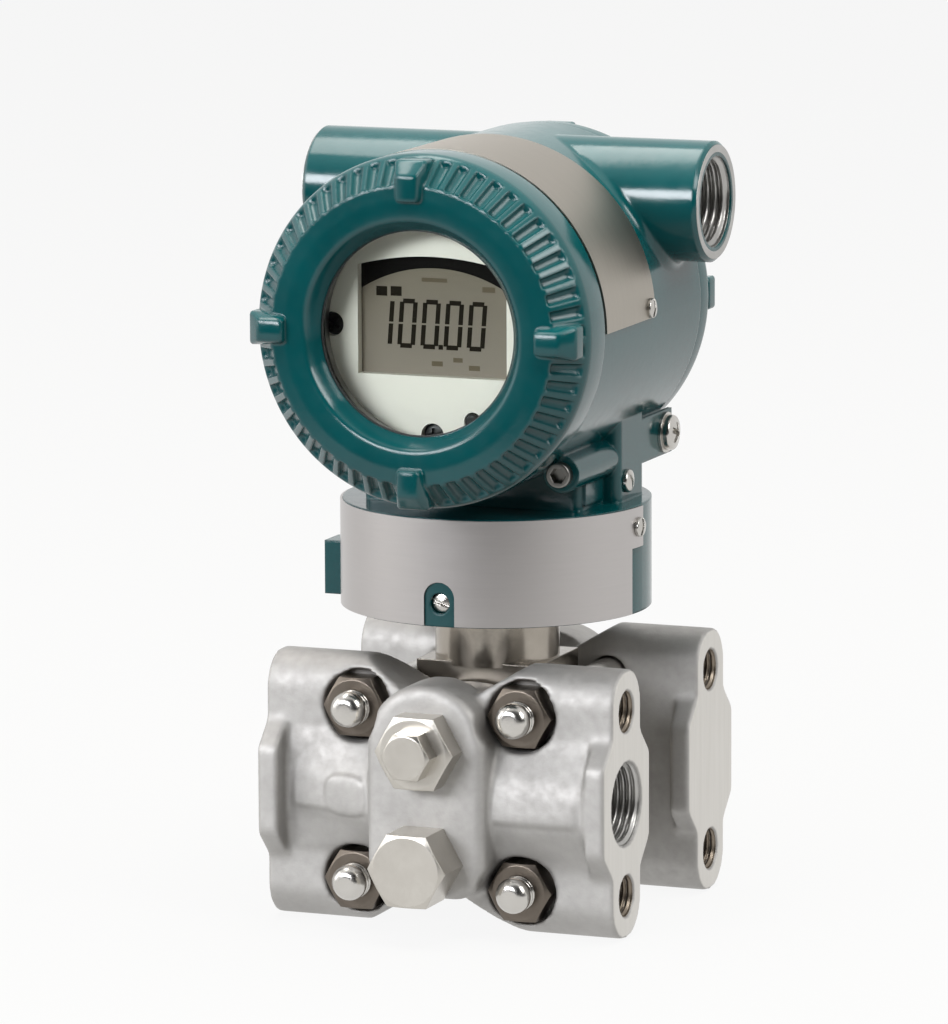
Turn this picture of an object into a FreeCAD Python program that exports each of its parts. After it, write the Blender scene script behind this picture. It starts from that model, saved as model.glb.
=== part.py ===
import FreeCAD, Part
import math
import operator
import os
from types import SimpleNamespace

import Sketcher
from FreeCAD import Placement, Rotation, Vector

# Differential pressure transmitter: a capsule between two process flanges carries a drum-shaped
# amplifier housing on its neck. +X is right, +Y is to the rear and +Z is up. The origin is on the
# neck's axis, at the height of the flanges' undersides. Lengths are in millimetres, angles in degrees.
SIZES = {
    # Process flanges
    "port_spacing": 54.0,  # front port axis to rear port axis
    "tapped_spacing": 41.3,  # between the two tapped holes of a flange end
    "tapped_margin": 9.35,  # tapped hole's axis to the flange's top or underside
    "tapped_radius": 4.6,
    "tapped_depth": 12.5,
    "flange_length": 82.5,
    "flange_thickness": 17.3,
    "lobe_flat": 1.3,  # what stays flat on top of the rounded slab
    "end_plate_thickness": 5.0,
    "end_plate_width": 29.0,
    "end_plate_land": 19.4,  # height of the flat at the end plate's widest place
    "end_plate_rounding": 3.0,
    "port_radius": 9.3,
    "port_depth": 15.0,
    "port_wall": 2.4,
    "passage_radius": 2.4,
    "swell_reach": 13.9,  # from the port axis to the front of the swelling round the port
    "swell_start": 9.4,  # the same at the blind end, where the swelling starts
    "swell_rise": 16.0,  # the same where the blind end's swelling runs into the boss
    "swell_land": 4.5,  # half the height of the swelling's front
    "swell_foot": 13.5,  # half its height where it leaves the slab
    "swell_rounding": 9.0,
    "swell_overlap": 2.0,  # how far it runs into the boss
    "waist_apex": 11.6,  # where the waist's two slopes would meet, below the flange's top
    "waist_width": 38.0,
    "waist_rounding": 6.0,
    "seat_setback": 1.0,  # from the port axis back to the front of the gasket's seat
    "plug_spacing": 25.4,  # vent plug's axis to drain plug's axis
    "plug_boss_radius": 14.0,
    "plug_boss_foot": 21.0,  # from the port axis down to the boss's underside
    "plug_boss_corner": 8.0,
    "plug_boss_reach": 17.5,  # from the port axis to the boss's face
    "plug_boss_rounding": 2.5,
    # Flange bolts
    "bolt_spacing": 39.0,
    "bolt_radius": 4.0,
    "bolt_clearance": 0.3,
    "bolt_projection": 5.6,  # thread past the nut
    "bolt_rounding": 2.4,
    "nut_across": 13.0,
    "nut_height": 6.5,
    "head_height": 5.3,
    "nut_pocket_radius": 7.9,  # a close pocket that keeps a nut from turning
    "spot_face_radius": 9.0,
    "spot_face_reach": 4.0,  # from the port axis to the nut's seat
    # Vent and drain plugs
    "plug_across": 16.0,
    "plug_thread_radius": 6.0,
    "plug_thread_depth": 11.0,
    "drain_head": 11.0,
    "vent_head": 6.4,
    "vent_screw_across": 10.0,
    "vent_screw_head": 4.8,
    "vent_screw_radius": 2.6,
    "vent_screw_length": 9.0,
    "hex_bevel": 0.8,
    "thread_clearance": 0.1,
    # Capsule
    "capsule_thickness": 25.2,
    "capsule_bolt_gap": 1.0,  # between the capsule and a bolt
    "gasket_thickness": 1.0,
    "gasket_width": 4.0,
    "chamber_depth": 1.2,
    "diaphragm_radius": 15.5,
    "diaphragm_thickness": 0.4,
    "diaphragm_recess": 0.8,
    "neck_radius": 29.9,
    "neck_bolt_gap": 2.0,  # above the upper bolts
    "neck_recess": 1.0,  # from the skirt's edge up to the underside of the neck's head
    "stem_radius": 14.0,
    "neck_engagement": 16.0,  # length of the neck inside the skirt
    "neck_bevel": 1.0,
    "swivel_clearance": 0.08,
    "lock_groove_depth": 1.6,
    "lock_height": 5.2,  # lock screw's axis above the skirt's edge
    "neck_ring_height": 11.6,
    "neck_ring_section": 2.4,
    "ring_room": 0.1,  # left free round a ring in its groove
    "sensor_radius": 10.5,
    "sensor_pocket": 22.0,
    "sensor_height": 15.0,
    "sensor_plug_radius": 6.0,
    "sensor_plug_height": 5.0,
    # Housing: skirt and pedestal
    "skirt_clearance": 8.3,  # from the flanges' tops up to the skirt
    "skirt_wall": 4.62,
    "skirt_height": 24.1,
    "skirt_headroom": 0.6,  # above the neck
    "stop_reach": 40.3,  # stop lug on the skirt's left side
    "stop_width": 8.0,
    "stop_height": 12.2,
    "pedestal_front": 15.5,
    "pedestal_step": 2.2,
    "pedestal_rear": 14.0,
    "pedestal_front_half": 26.0,
    "pedestal_rear_half": 30.0,
    "pedestal_corner": 2.0,
    "panel_height": 12.6,
    "panel_relief": 0.7,
    "panel_margin": 1.2,
    "wire_radius": 3.2,
    "ground_boss_rear": 31.5,
    "ground_boss_rise": 7.0,
    "ground_boss_height": 10.0,
    "ground_boss_depth": 12.0,
    # Housing: drum and conduit
    "axis_rise": 42.6,  # from the skirt's top to the drum's axis
    "drum_radius": 38.5,
    "drum_front": 33.5,
    "drum_rear": 27.5,
    "drum_wall": 7.5,
    "bulkhead_front": 8.0,
    "bulkhead_thickness": 10.0,
    "spigot_step": 3.2,
    "front_spigot": 9.4,
    "rear_spigot": 7.0,
    "conduit_radius": 13.5,
    "conduit_reach": 47.1,
    "conduit_back": 13.5,
    "conduit_rise": 23.9,
    "conduit_thread_radius": 10.2,
    "conduit_thread_depth": 16.0,
    "conduit_passage_radius": 8.0,
    "conduit_bevel": 0.8,
    "conduit_fillet": 2.0,
    # Covers
    "cover_gap": 0.6,  # between the drum's shoulder and a cover
    "display_cover_radius": 39.0,
    "terminal_cover_radius": 38.1,
    "display_cover_length": 16.9,
    "display_cover_band": 9.8,  # plain cylinder at the cover's open end
    "terminal_cover_length": 13.0,
    "terminal_cover_band": 6.2,
    "cover_slope_drop": 6.0,
    "window_radius": 22.4,
    "window_bevel": 3.6,
    "window_bevel_height": 4.5,
    "glass_radius": 26.6,
    "glass_thickness": 5.0,
    "glass_clearance": 0.3,
    "window_gasket_thickness": 0.6,
    "retaining_ring_height": 2.2,
    "retaining_ring_width": 2.4,
    "glass_collar_wall": 2.4,
    "tooth_count": 56,
    "tooth_gap_width": 2.1,
    "tooth_depth": 1.3,
    "lug_count": 4,
    "lug_width": 5.6,
    "lug_inner_radius": 28.0,
    "lug_inset": 0.8,  # from the cover's widest place in to the lug
    "lug_height": 2.2,
    "lug_rounding": 1.2,
    "cover_ring_section": 2.0,
    "cover_ring_offset": 1.6,  # from the drum's shoulder to the ring's groove
    # Indicator and electronics
    "cpu_gap": 2.0,  # round the cpu assembly
    "cpu_depth": 15.0,
    "indicator_gap": 4.0,
    "indicator_depth": 13.0,
    "bezel_thickness": 2.2,
    "lcd_width": 35.0,
    "lcd_height": 26.4,
    "lcd_rise": 2.6,  # window's middle above the drum's axis
    "lcd_arch": 2.4,
    "lcd_lap": 1.2,
    "lcd_thickness": 1.2,
    "bezel_screw_circle": 23.6,
    "bezel_screw_room": 2.7,
    "button_right": 9.5,
    "button_drop": 20.0,
    "button_radius": 1.7,
    "button_clearance": 0.3,
    "button_length": 2.4,
    "button_travel": 0.8,
    "terminal_gap": 3.0,
    "terminal_depth": 10.0,
    "terminal_top": 8.0,
    "terminal_pitch": 12.0,
    "terminal_rib": 2.0,
    "terminal_rib_height": 3.0,
    # Plates
    "plate_thickness": 0.5,
    "plate_gap": 0.04,
    "plate_margin": 0.2,
    "data_plate_wrap": 160.0,
    "data_plate_tab_wrap": 178.0,
    "data_plate_tab": 9.0,
    "notch_width": 7.2,
    "notch_height": 9.8,
    "name_plate_width": 30.0,
    "name_plate_screw_inset": 2.6,
    # Small screws
    "plate_screw_head": 2.2,
    "plate_screw_height": 1.2,
    "plate_screw_radius": 1.2,
    "plate_screw_length": 3.5,
    "lock_screw_radius": 2.2,
    "lock_screw_recess": 0.5,
    "cover_lock_head": 2.8,
    "cover_lock_height": 2.2,
    "cover_lock_radius": 1.8,
    "cover_lock_length": 8.0,
    "cover_lock_boss_radius": 4.2,
    "cover_lock_boss_front": 26.0,
    "cover_lock_boss_rear": 20.0,
    "cover_lock_side": 25.4,
    "cover_lock_drop": 32.6,
    "ground_head": 4.0,
    "ground_head_height": 2.6,
    "ground_radius": 2.0,
    "ground_length": 4.0,
    "ground_washer_radius": 4.6,
    "ground_washer_thickness": 0.8,
    "zero_head": 2.6,
    "zero_head_height": 1.6,
    "zero_radius": 1.6,
    "zero_length": 8.0,
    "zero_rise": 4.6,
    "zero_back": 2.4,
    "terminal_head": 3.4,
    "terminal_head_height": 2.0,
    "terminal_radius": 1.6,
    "terminal_length": 6.0,
    "bezel_screw_head": 2.3,
    "bezel_screw_height": 1.3,
    "bezel_screw_radius": 1.2,
    "bezel_screw_length": 5.0,
    "screw_rounding": 0.6,
}

document = FreeCAD.newDocument("PressureTransmitter")
sheet = document.addObject("Spreadsheet::Sheet", "Sizes")
for row, (alias, number) in enumerate(SIZES.items(), start=1):
    sheet.set(f"A{row}", alias)
    sheet.set(f"B{row}", str(number))
    sheet.setAlias(f"B{row}", alias)
document.recompute()

SIGNS = {"+": operator.add, "-": operator.sub, "*": operator.mul, "/": operator.truediv}


class Size:
    """A length with the sheet formula that it comes from."""

    def __init__(self, value, formula):
        self.value = value
        self.formula = formula

    def __add__(self, other):
        return combine(self, "+", other)

    def __radd__(self, other):
        return combine(other, "+", self)

    def __sub__(self, other):
        return combine(self, "-", other)

    def __rsub__(self, other):
        return combine(other, "-", self)

    def __mul__(self, other):
        return combine(self, "*", other)

    def __rmul__(self, other):
        return combine(other, "*", self)

    def __truediv__(self, other):
        return combine(self, "/", other)

    def __neg__(self):
        return combine(0, "-", self)


def as_size(value):
    return value if isinstance(value, Size) else Size(float(value), repr(float(value)))


def combine(left, sign, right):
    left, right = as_size(left), as_size(right)
    return Size(SIGNS[sign](left.value, right.value), f"({left.formula} {sign} {right.formula})")


dim = SimpleNamespace(**{alias: Size(number, f"Sizes.{alias}") for alias, number in SIZES.items()})

# Heights and places that several pieces share
flange_middle = dim.port_spacing / 2
port_height = dim.tapped_spacing / 2 + dim.tapped_margin
flange_top = port_height * 2
seat_depth = flange_middle - dim.capsule_thickness / 2 - dim.gasket_thickness
bolt_offset = dim.bolt_spacing / 2
plug_offset = dim.plug_spacing / 2
disc_radius = dim.bolt_spacing * math.sqrt(0.5) - dim.bolt_radius - dim.capsule_bolt_gap
neck_bottom = port_height + bolt_offset + dim.bolt_radius + dim.neck_bolt_gap
skirt_bottom = flange_top + dim.skirt_clearance
skirt_top = skirt_bottom + dim.skirt_height
neck_top = skirt_bottom + dim.neck_engagement
lock_height = skirt_bottom + dim.lock_height
skirt_bore = dim.neck_radius + dim.swivel_clearance
skirt_radius = skirt_bore + dim.skirt_wall
axis_height = skirt_top + dim.axis_rise
spigot_radius = dim.drum_radius - dim.spigot_step
chamber_radius = dim.drum_radius - dim.drum_wall
bulkhead_rear = dim.bulkhead_thickness - dim.bulkhead_front
cover_bore = spigot_radius + dim.thread_clearance
indicator_radius = chamber_radius - dim.indicator_gap
cpu_front = dim.bulkhead_front + dim.cpu_depth
indicator_front = cpu_front + dim.indicator_depth
bezel_front = indicator_front + dim.bezel_thickness
conduit_height = axis_height + dim.conduit_rise

ORIGIN = (0, 0, 0)
UPRIGHT = Rotation()
ALONG_X = Rotation(Vector(0, 1, 0), 90)
ALONG_Y = Rotation(Vector(1, 0, 0), -90)
SIDES = {"front": 0, "rear": 180}
OVERCUT = 1.0  # how far a cutting tool starts outside the solid
HEX_CORNER = 0.6  # a circle round a hexagon's corners, as a share of its width across flats
HEX_FACE = 0.48  # the round end face of a hexagon with its corners turned off, likewise
nodes = {}


def facing(turn):
    """Local z looks outwards, 0 to the front and 90 to the right, with local y up."""
    return Rotation(Vector(0, 0, 1), turn) * Rotation(Vector(1, 0, 0), 90)


def outwards(turn, distance, height):
    """A point on the side that faces turn, at a distance from the neck's axis."""
    bearing = math.radians(turn)
    return (distance * math.sin(bearing), -distance * math.cos(bearing), height)


def bind(target, **sizes):
    for name, value in sizes.items():
        target.setExpression(name, as_size(value).formula)
    return target


def put(target, at=ORIGIN, rotation=UPRIGHT):
    place = [as_size(value) for value in at]
    target.Placement = Placement(Vector(*(value.value for value in place)), rotation)
    for axis, value in zip("xyz", place):
        target.setExpression(f"Placement.Base.{axis}", value.formula)
    return target


def node(label, target):
    target.Label = label
    nodes[label] = target
    return target


def rod(radius, length, at=ORIGIN, rotation=UPRIGHT):
    return put(bind(document.addObject("Part::Cylinder", "Rod"), Radius=radius, Height=length), at, rotation)


def sector(radius, height, wrap, at):
    """A slice of a cylinder about the vertical, wrap degrees wide and centred on the front."""
    piece = bind(document.addObject("Part::Cylinder", "Sector"), Radius=radius, Height=height, Angle=wrap)
    return put(piece, at, Rotation(Vector(0, 0, 1), 270 - wrap.value / 2))


def block(low, high):
    low, high = [as_size(value) for value in low], [as_size(value) for value in high]
    piece = document.addObject("Part::Box", "Block")
    bind(piece, Length=high[0] - low[0], Width=high[1] - low[1], Height=high[2] - low[2])
    return put(piece, low)


def ring(middle_radius, section, at, rotation):
    piece = document.addObject("Part::Torus", "Ring")
    return put(bind(piece, Radius1=middle_radius, Radius2=section / 2), at, rotation)


def join(*pieces):
    piece = document.addObject("Part::MultiFuse", "Join")
    piece.Shapes = list(pieces)
    piece.Refine = True
    return piece


def cut(base, *tools):
    piece = document.addObject("Part::Cut", "Cut")
    piece.Base = base
    piece.Tool = tools[0] if len(tools) == 1 else join(*tools)
    return piece


def common(first, second):
    piece = document.addObject("Part::Common", "Common")
    piece.Base = first
    piece.Tool = second
    return piece


def group(*pieces):
    piece = document.addObject("Part::Compound", "Group")
    piece.Links = list(pieces)
    return piece


def rounded(base, radius, chosen):
    """Round the edges of a solid for which chosen(edge) is true."""
    document.recompute()
    piece = document.addObject("Part::Fillet", "Rounding")
    piece.Base = base
    numbered = enumerate(base.Shape.Edges, start=1)
    piece.Edges = [(number, radius.value, radius.value) for number, edge in numbered if chosen(edge)]
    return piece


def rounded_front(base, height, radius):
    """Round every edge of a solid that lies in its flat face at local z = height."""
    def in_face(edge):
        low, high = edge.BoundBox.ZMin, edge.BoundBox.ZMax
        return max(abs(low - height.value), abs(high - height.value)) < 1e-6

    return rounded(base, radius, in_face)


def pin(sketch, geometry, end, x, y):
    """Tie a sketch point to the sketch's axes by the two sizes that place it."""
    for kind, value, axis in (("DistanceX", x, -2), ("DistanceY", y, -1)):
        if value.value == 0:
            sketch.addConstraint(Sketcher.Constraint("PointOnObject", geometry, end, axis))
        else:
            tie = sketch.addConstraint(Sketcher.Constraint(kind, -1, 1, geometry, end, value.value))
            sketch.setExpression(f"Constraints[{tie}]", value.formula)


def rounded_corner(before, corner, after, radius):
    """Where an arc starts, its middle and where it ends, for a corner between two straight runs."""
    back, onward = (before - corner).normalize(), (after - corner).normalize()
    half = back.getAngle(onward) / 2
    run = radius / math.tan(half)
    middle = corner + (back + onward).normalize() * (radius / math.sin(half) - radius)
    return corner + back * run, middle, corner + onward * run


def outline(body, plane, corners):
    """A closed sketch through corners (x, y), or (x, y, radius) for a rounded one."""
    sketch = body.newObject("Sketcher::SketchObject", "Outline")
    sketch.AttachmentSupport = ([item for item in body.Origin.OriginFeatures if item.Role == plane][0], [""])
    sketch.MapMode = "FlatFace"
    corners = [[as_size(value) for value in corner] for corner in corners]
    points = [Vector(corner[0].value, corner[1].value, 0) for corner in corners]
    count = len(corners)
    bends = []
    for index, corner in enumerate(corners):
        point = points[index]
        if len(corner) == 2:
            bends.append((point, None, point))
        else:
            following = points[(index + 1) % count]
            bends.append(rounded_corner(points[index - 1], point, following, corner[2].value))
    lines = []
    for index in range(count):
        run = Part.LineSegment(bends[index][2], bends[(index + 1) % count][0])
        lines.append(sketch.addGeometry(run, False))
    for index, (corner, (start, middle, end)) in enumerate(zip(corners, bends)):
        arriving, leaving = lines[index - 1], lines[index]
        if middle is None:
            sketch.addConstraint(Sketcher.Constraint("Coincident", arriving, 2, leaving, 1))
            pin(sketch, leaving, 1, *corner)
            continue
        arc = sketch.addGeometry(Part.Arc(start, middle, end), False)
        first, last = (1, 2) if sketch.getPoint(arc, 1).distanceToPoint(start) < 1e-6 else (2, 1)
        sketch.addConstraint(Sketcher.Constraint("Tangent", arriving, 2, arc, first))
        sketch.addConstraint(Sketcher.Constraint("Tangent", arc, last, leaving, 1))
        tie = sketch.addConstraint(Sketcher.Constraint("Radius", arc, corner[2].value))
        sketch.setExpression(f"Constraints[{tie}]", corner[2].formula)
        tip = sketch.addGeometry(Part.Point(points[index]), True)
        sketch.addConstraint(Sketcher.Constraint("PointOnObject", tip, 1, arriving))
        sketch.addConstraint(Sketcher.Constraint("PointOnObject", tip, 1, leaving))
        pin(sketch, tip, 1, corner[0], corner[1])
    return sketch


def turned(corners, at=ORIGIN, rotation=UPRIGHT):
    """A solid turned about local z from a half section of (radius, height) corners."""
    body = document.addObject("PartDesign::Body", "Turned")
    sketch = outline(body, "XZ_Plane", corners)
    turn = body.newObject("PartDesign::Revolution", "Turn")
    turn.Profile = sketch
    turn.ReferenceAxis = (sketch, ["V_Axis"])
    turn.Angle = 360
    return put(body, at, rotation)


def padded(corners, length, at=ORIGIN, rotation=UPRIGHT):
    """A solid with one outline, padded along local z."""
    body = document.addObject("PartDesign::Body", "Padded")
    sketch = outline(body, "XY_Plane", corners)
    pad = body.newObject("PartDesign::Pad", "Pad")
    pad.Profile = sketch
    bind(pad, Length=length)
    return put(body, at, rotation)


def lofted(first, second, length, at=ORIGIN, rotation=UPRIGHT):
    """A solid between two outlines of the same kind, the second one a length along local z."""
    body = document.addObject("PartDesign::Body", "Lofted")
    start, end = outline(body, "XY_Plane", first), outline(body, "XY_Plane", second)
    end.setExpression("AttachmentOffset.Base.z", as_size(length).formula)
    loft = body.newObject("PartDesign::AdditiveLoft", "Loft")
    loft.Profile = start
    loft.Sections = [end]
    loft.Ruled = True
    return put(body, at, rotation)


def hexagon(across, height, bevel, start, both_ends=False):
    """A hexagon with its corners turned off at the outer end, or at both ends, as a nut has them."""
    prism = document.addObject("Part::Prism", "Hexagon")
    prism.Polygon = 6
    bind(prism, Circumradius=across / math.sqrt(3), Height=height)
    put(prism, (0, 0, start))
    reach = across * HEX_CORNER
    inner = across * HEX_FACE
    section = [(0, start), (inner, start), (reach, start + bevel), (reach, start + height - bevel)]
    if not both_ends:
        section[1:3] = [(reach, start)]
    section += [(inner, start + height), (0, start + height)]
    return common(prism, turned(section))


def screw(head_radius, head_height, shank_radius, shank_length, at, rotation):
    """A pan-headed screw: its head stands on the seat at local z = 0 and its shank goes below it."""
    section = [
        (0, -shank_length),
        (shank_radius, -shank_length),
        (shank_radius, 0),
        (head_radius, 0),
        (head_radius, head_height, dim.screw_rounding),
        (0, head_height),
    ]
    return turned(section, at, rotation)


def tapped(shank_radius, shank_length, at, rotation):
    """The hole for such a screw, as a tool that starts just outside the seat."""
    tool = rod(shank_radius + dim.thread_clearance, shank_length + 2 * OVERCUT, ORIGIN)
    put(tool, (0, 0, -shank_length - OVERCUT))
    return put(group(tool), at, rotation)


def swollen(reach):
    """A flange's cross-section: a slab with round ends that swells on the outer side, which is local -x."""
    side = dim.flange_thickness / 2
    rounding = side - dim.lobe_flat / 2
    soft = dim.swell_rounding
    outer = [(-side, port_height, rounding), (-side, dim.swell_foot, soft), (-reach, dim.swell_land, soft)]
    outer += [(x, -y, radius) for x, y, radius in reversed(outer)]
    return outer + [(side, -port_height, rounding), (side, port_height, rounding)]


def process_flange(label, turn, pocket):
    """A cast flange in its own frame: x along it, y up from the port axis, z away from the capsule."""
    half = dim.flange_length / 2
    side = dim.flange_thickness / 2
    rounding = side - dim.lobe_flat / 2
    bulge = dim.end_plate_width / 2
    land = dim.end_plate_land / 2
    foot = land + bulge - side
    slab = padded(
        [(x * side, y * port_height, rounding) for x, y in ((1, 1), (-1, 1), (-1, -1), (1, -1))],
        dim.flange_length, (-half, 0, 0), ALONG_X)
    soft = dim.end_plate_rounding
    right_side = [(side, port_height, rounding), (side, foot, soft), (bulge, land, soft)]
    right_side += [(bulge, -land, soft), (side, -foot, soft), (side, -port_height, rounding)]
    plate_outline = right_side + [(-x, y, r) for x, y, r in reversed(right_side)]
    plates = [
        padded(plate_outline, dim.end_plate_thickness, (x, 0, 0), ALONG_X)
        for x in (-half, half - dim.end_plate_thickness)
    ]
    swelling = padded(swollen(dim.swell_reach), half, ORIGIN, ALONG_X)
    blind_length = half - dim.end_plate_thickness - dim.plug_boss_radius + dim.swell_overlap
    blind = lofted(swollen(dim.swell_start), swollen(dim.swell_rise), blind_length,
                   (dim.end_plate_thickness - half, 0, 0), ALONG_X)
    above = port_height + OVERCUT
    wide = dim.waist_width / 2 * (dim.waist_apex + OVERCUT) / dim.waist_apex
    apex = port_height - dim.waist_apex
    waists = [
        padded([(-wide, sign * above), (0, sign * apex, dim.waist_rounding), (wide, sign * above)],
               2 * flange_middle, (0, 0, -flange_middle))
        for sign in (1, -1)
    ]
    bar = cut(join(slab, swelling, blind, *plates), *waists)
    barrel = rod(dim.port_radius + dim.port_wall, half, ORIGIN, ALONG_X)
    seat = rod(disc_radius, seat_depth - dim.seat_setback, (0, 0, -seat_depth))
    boss_start = dim.spot_face_reach
    boss_length = dim.plug_boss_reach - boss_start
    boss_radius, boss_foot, boss_corner = dim.plug_boss_radius, dim.plug_boss_foot, dim.plug_boss_corner
    boss = join(
        padded([
            (boss_radius, plug_offset),
            (-boss_radius, plug_offset),
            (-boss_radius, -boss_foot, boss_corner),
            (boss_radius, -boss_foot, boss_corner),
        ], boss_length, (0, 0, boss_start)),
        rod(boss_radius, boss_length, (0, plug_offset, boss_start)))
    boss = rounded_front(boss, dim.plug_boss_reach, dim.plug_boss_rounding)
    casting = join(bar, barrel, seat, boss)

    through = seat_depth + dim.plug_boss_reach + 2 * OVERCUT
    start = -seat_depth - OVERCUT
    hole_radius = dim.bolt_radius + dim.bolt_clearance
    tools = []
    for x in (-bolt_offset, bolt_offset):
        for y in (-bolt_offset, bolt_offset):
            tools.append(rod(hole_radius, through, (x, y, start)))
            tools.append(rod(pocket, dim.plug_boss_reach, (x, y, dim.spot_face_reach)))
    tapped_length = dim.tapped_depth + OVERCUT
    for y in (-dim.tapped_spacing / 2, dim.tapped_spacing / 2):
        for x in (half - dim.tapped_depth, -half - OVERCUT):
            tools.append(rod(dim.tapped_radius, tapped_length, (x, y, 0), ALONG_X))
    tools.append(rod(dim.port_radius, dim.port_depth + OVERCUT, (half - dim.port_depth, 0, 0), ALONG_X))
    tools.append(rod(dim.passage_radius, half, ORIGIN, ALONG_X))
    tools.append(rod(dim.passage_radius, seat_depth + OVERCUT, (0, 0, start)))
    tools.append(rod(dim.diaphragm_radius, dim.chamber_depth + OVERCUT, (0, 0, start)))
    plug_floor = dim.plug_boss_reach - dim.plug_thread_depth
    for y in (-plug_offset, plug_offset):
        tools.append(rod(dim.plug_thread_radius, dim.plug_thread_depth + OVERCUT, (0, y, plug_floor)))
        tools.append(rod(dim.passage_radius, through, (0, y, start)))
    node(label, put(cut(casting, *tools), outwards(turn, flange_middle, port_height), facing(turn)))


def capsule():
    half = dim.capsule_thickness / 2
    web = bolt_offset - dim.bolt_radius - dim.capsule_bolt_gap
    bevel = dim.neck_bevel
    groove = dim.neck_radius - dim.lock_groove_depth
    groove_half = dim.lock_screw_radius + dim.ring_room
    ring_height = skirt_bottom + dim.neck_ring_height
    ring_bed = dim.neck_radius - dim.neck_ring_section - dim.ring_room
    ring_half = dim.neck_ring_section / 2 + dim.ring_room
    pocket = dim.sensor_radius
    pocket_floor = neck_top - dim.sensor_pocket
    head_bottom = skirt_bottom + dim.neck_recess
    neck = turned([
        (0, neck_bottom),
        (dim.stem_radius, neck_bottom),
        (dim.stem_radius, head_bottom),
        (dim.neck_radius - bevel, head_bottom),
        (dim.neck_radius, head_bottom + bevel),
        (dim.neck_radius, lock_height - groove_half),
        (groove, lock_height - groove_half),
        (groove, lock_height + groove_half),
        (dim.neck_radius, lock_height + groove_half),
        (dim.neck_radius, ring_height - ring_half),
        (ring_bed, ring_height - ring_half),
        (ring_bed, ring_height + ring_half),
        (dim.neck_radius, ring_height + ring_half),
        (dim.neck_radius, neck_top - bevel),
        (dim.neck_radius - bevel, neck_top),
        (pocket, neck_top),
        (pocket, pocket_floor),
        (0, pocket_floor),
    ])
    disc = rod(disc_radius, dim.capsule_thickness, (0, -half, port_height), ALONG_Y)
    bridge = block((-web, -half, port_height), (web, half, neck_bottom + bevel))
    recess = dim.diaphragm_recess
    recesses = [
        rod(dim.diaphragm_radius, recess + OVERCUT, outwards(turn, half - recess, port_height), facing(turn))
        for turn in SIDES.values()
    ]
    node("capsule_body", cut(join(disc, bridge, neck), *recesses))
    node("neck_o_ring", ring(
        dim.neck_radius - dim.neck_ring_section / 2, dim.neck_ring_section, (0, 0, ring_height), UPRIGHT))
    body_radius = pocket - dim.thread_clearance
    shoulder = dim.sensor_height
    node("sensor_unit", turned([
        (0, 0),
        (body_radius, 0),
        (body_radius, shoulder, bevel),
        (dim.sensor_plug_radius, shoulder),
        (dim.sensor_plug_radius, shoulder + dim.sensor_plug_height),
        (0, shoulder + dim.sensor_plug_height),
    ], (0, 0, pocket_floor)))


def capsule_side(name, turn):
    """The diaphragm and the flange gasket on one face of the capsule."""
    half = dim.capsule_thickness / 2
    rim = dim.diaphragm_radius - dim.thread_clearance
    plate = dim.diaphragm_thickness
    node(f"{name}_diaphragm", turned(
        [(0, 0), (rim, 0), (rim, plate), (0, plate)],
        outwards(turn, half - dim.diaphragm_recess, port_height), facing(turn)))
    outer = disc_radius - dim.capsule_bolt_gap
    inner = outer - dim.gasket_width
    thick = dim.gasket_thickness
    node(f"{name}_flange_gasket", turned(
        [(inner, 0), (outer, 0), (outer, thick), (inner, thick)],
        outwards(turn, half, port_height), facing(turn)))


def flange_bolting():
    """Four bolts with their heads on the rear flange, and four nuts on the front one."""
    seat = flange_middle + dim.spot_face_reach
    tip = 2 * seat + dim.nut_height + dim.bolt_projection
    bolts, nuts = [], []
    for x in (-bolt_offset, bolt_offset):
        for z in (port_height - bolt_offset, port_height + bolt_offset):
            radius = dim.bolt_radius
            shank = turned([(0, 0), (radius, 0), (radius, tip, dim.bolt_rounding), (0, tip)])
            head = hexagon(dim.nut_across, dim.head_height, dim.hex_bevel, -dim.head_height, both_ends=True)
            bolts.append(put(join(shank, head), (x, seat, z), facing(0)))
            bore = rod(radius + dim.thread_clearance, dim.nut_height + 2 * OVERCUT, (0, 0, -OVERCUT))
            nut = cut(hexagon(dim.nut_across, dim.nut_height, dim.hex_bevel, 0, both_ends=True), bore)
            nuts.append(put(nut, (x, -seat, z), facing(0)))
    node("flange_bolts", group(*bolts))
    node("flange_nuts", group(*nuts))


def flange_plugs(name, turn):
    """The vent plug with its vent screw above, and the drain plug below, on one flange."""
    face = flange_middle + dim.plug_boss_reach
    vent_at = outwards(turn, face, port_height + plug_offset)
    drain_at = outwards(turn, face, port_height - plug_offset)
    thread = dim.plug_thread_radius - dim.thread_clearance
    length = dim.plug_thread_depth - OVERCUT
    bore = dim.vent_screw_radius + dim.thread_clearance
    drain_head = hexagon(dim.plug_across, dim.drain_head, dim.hex_bevel, 0)
    drain = join(drain_head, rod(thread, length, (0, 0, -length)))
    node(f"{name}_drain_plug", put(drain, drain_at, facing(turn)))
    vent_head = hexagon(dim.plug_across, dim.vent_head, dim.hex_bevel, 0)
    vent = join(vent_head, rod(thread, length, (0, 0, -length)))
    vent = cut(vent, rod(bore, length + dim.vent_head + 2 * OVERCUT, (0, 0, -length - OVERCUT)))
    node(f"{name}_vent_plug", put(vent, vent_at, facing(turn)))
    tip = dim.vent_head - dim.vent_screw_length
    stem = dim.vent_screw_radius
    shank = turned([(0, tip), (stem / 2, tip), (stem, tip + stem), (stem, dim.vent_head), (0, dim.vent_head)])
    head = hexagon(dim.vent_screw_across, dim.vent_screw_head, dim.hex_bevel, dim.vent_head)
    node(f"{name}_vent_screw", put(join(shank, head), vent_at, facing(turn)))


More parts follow.
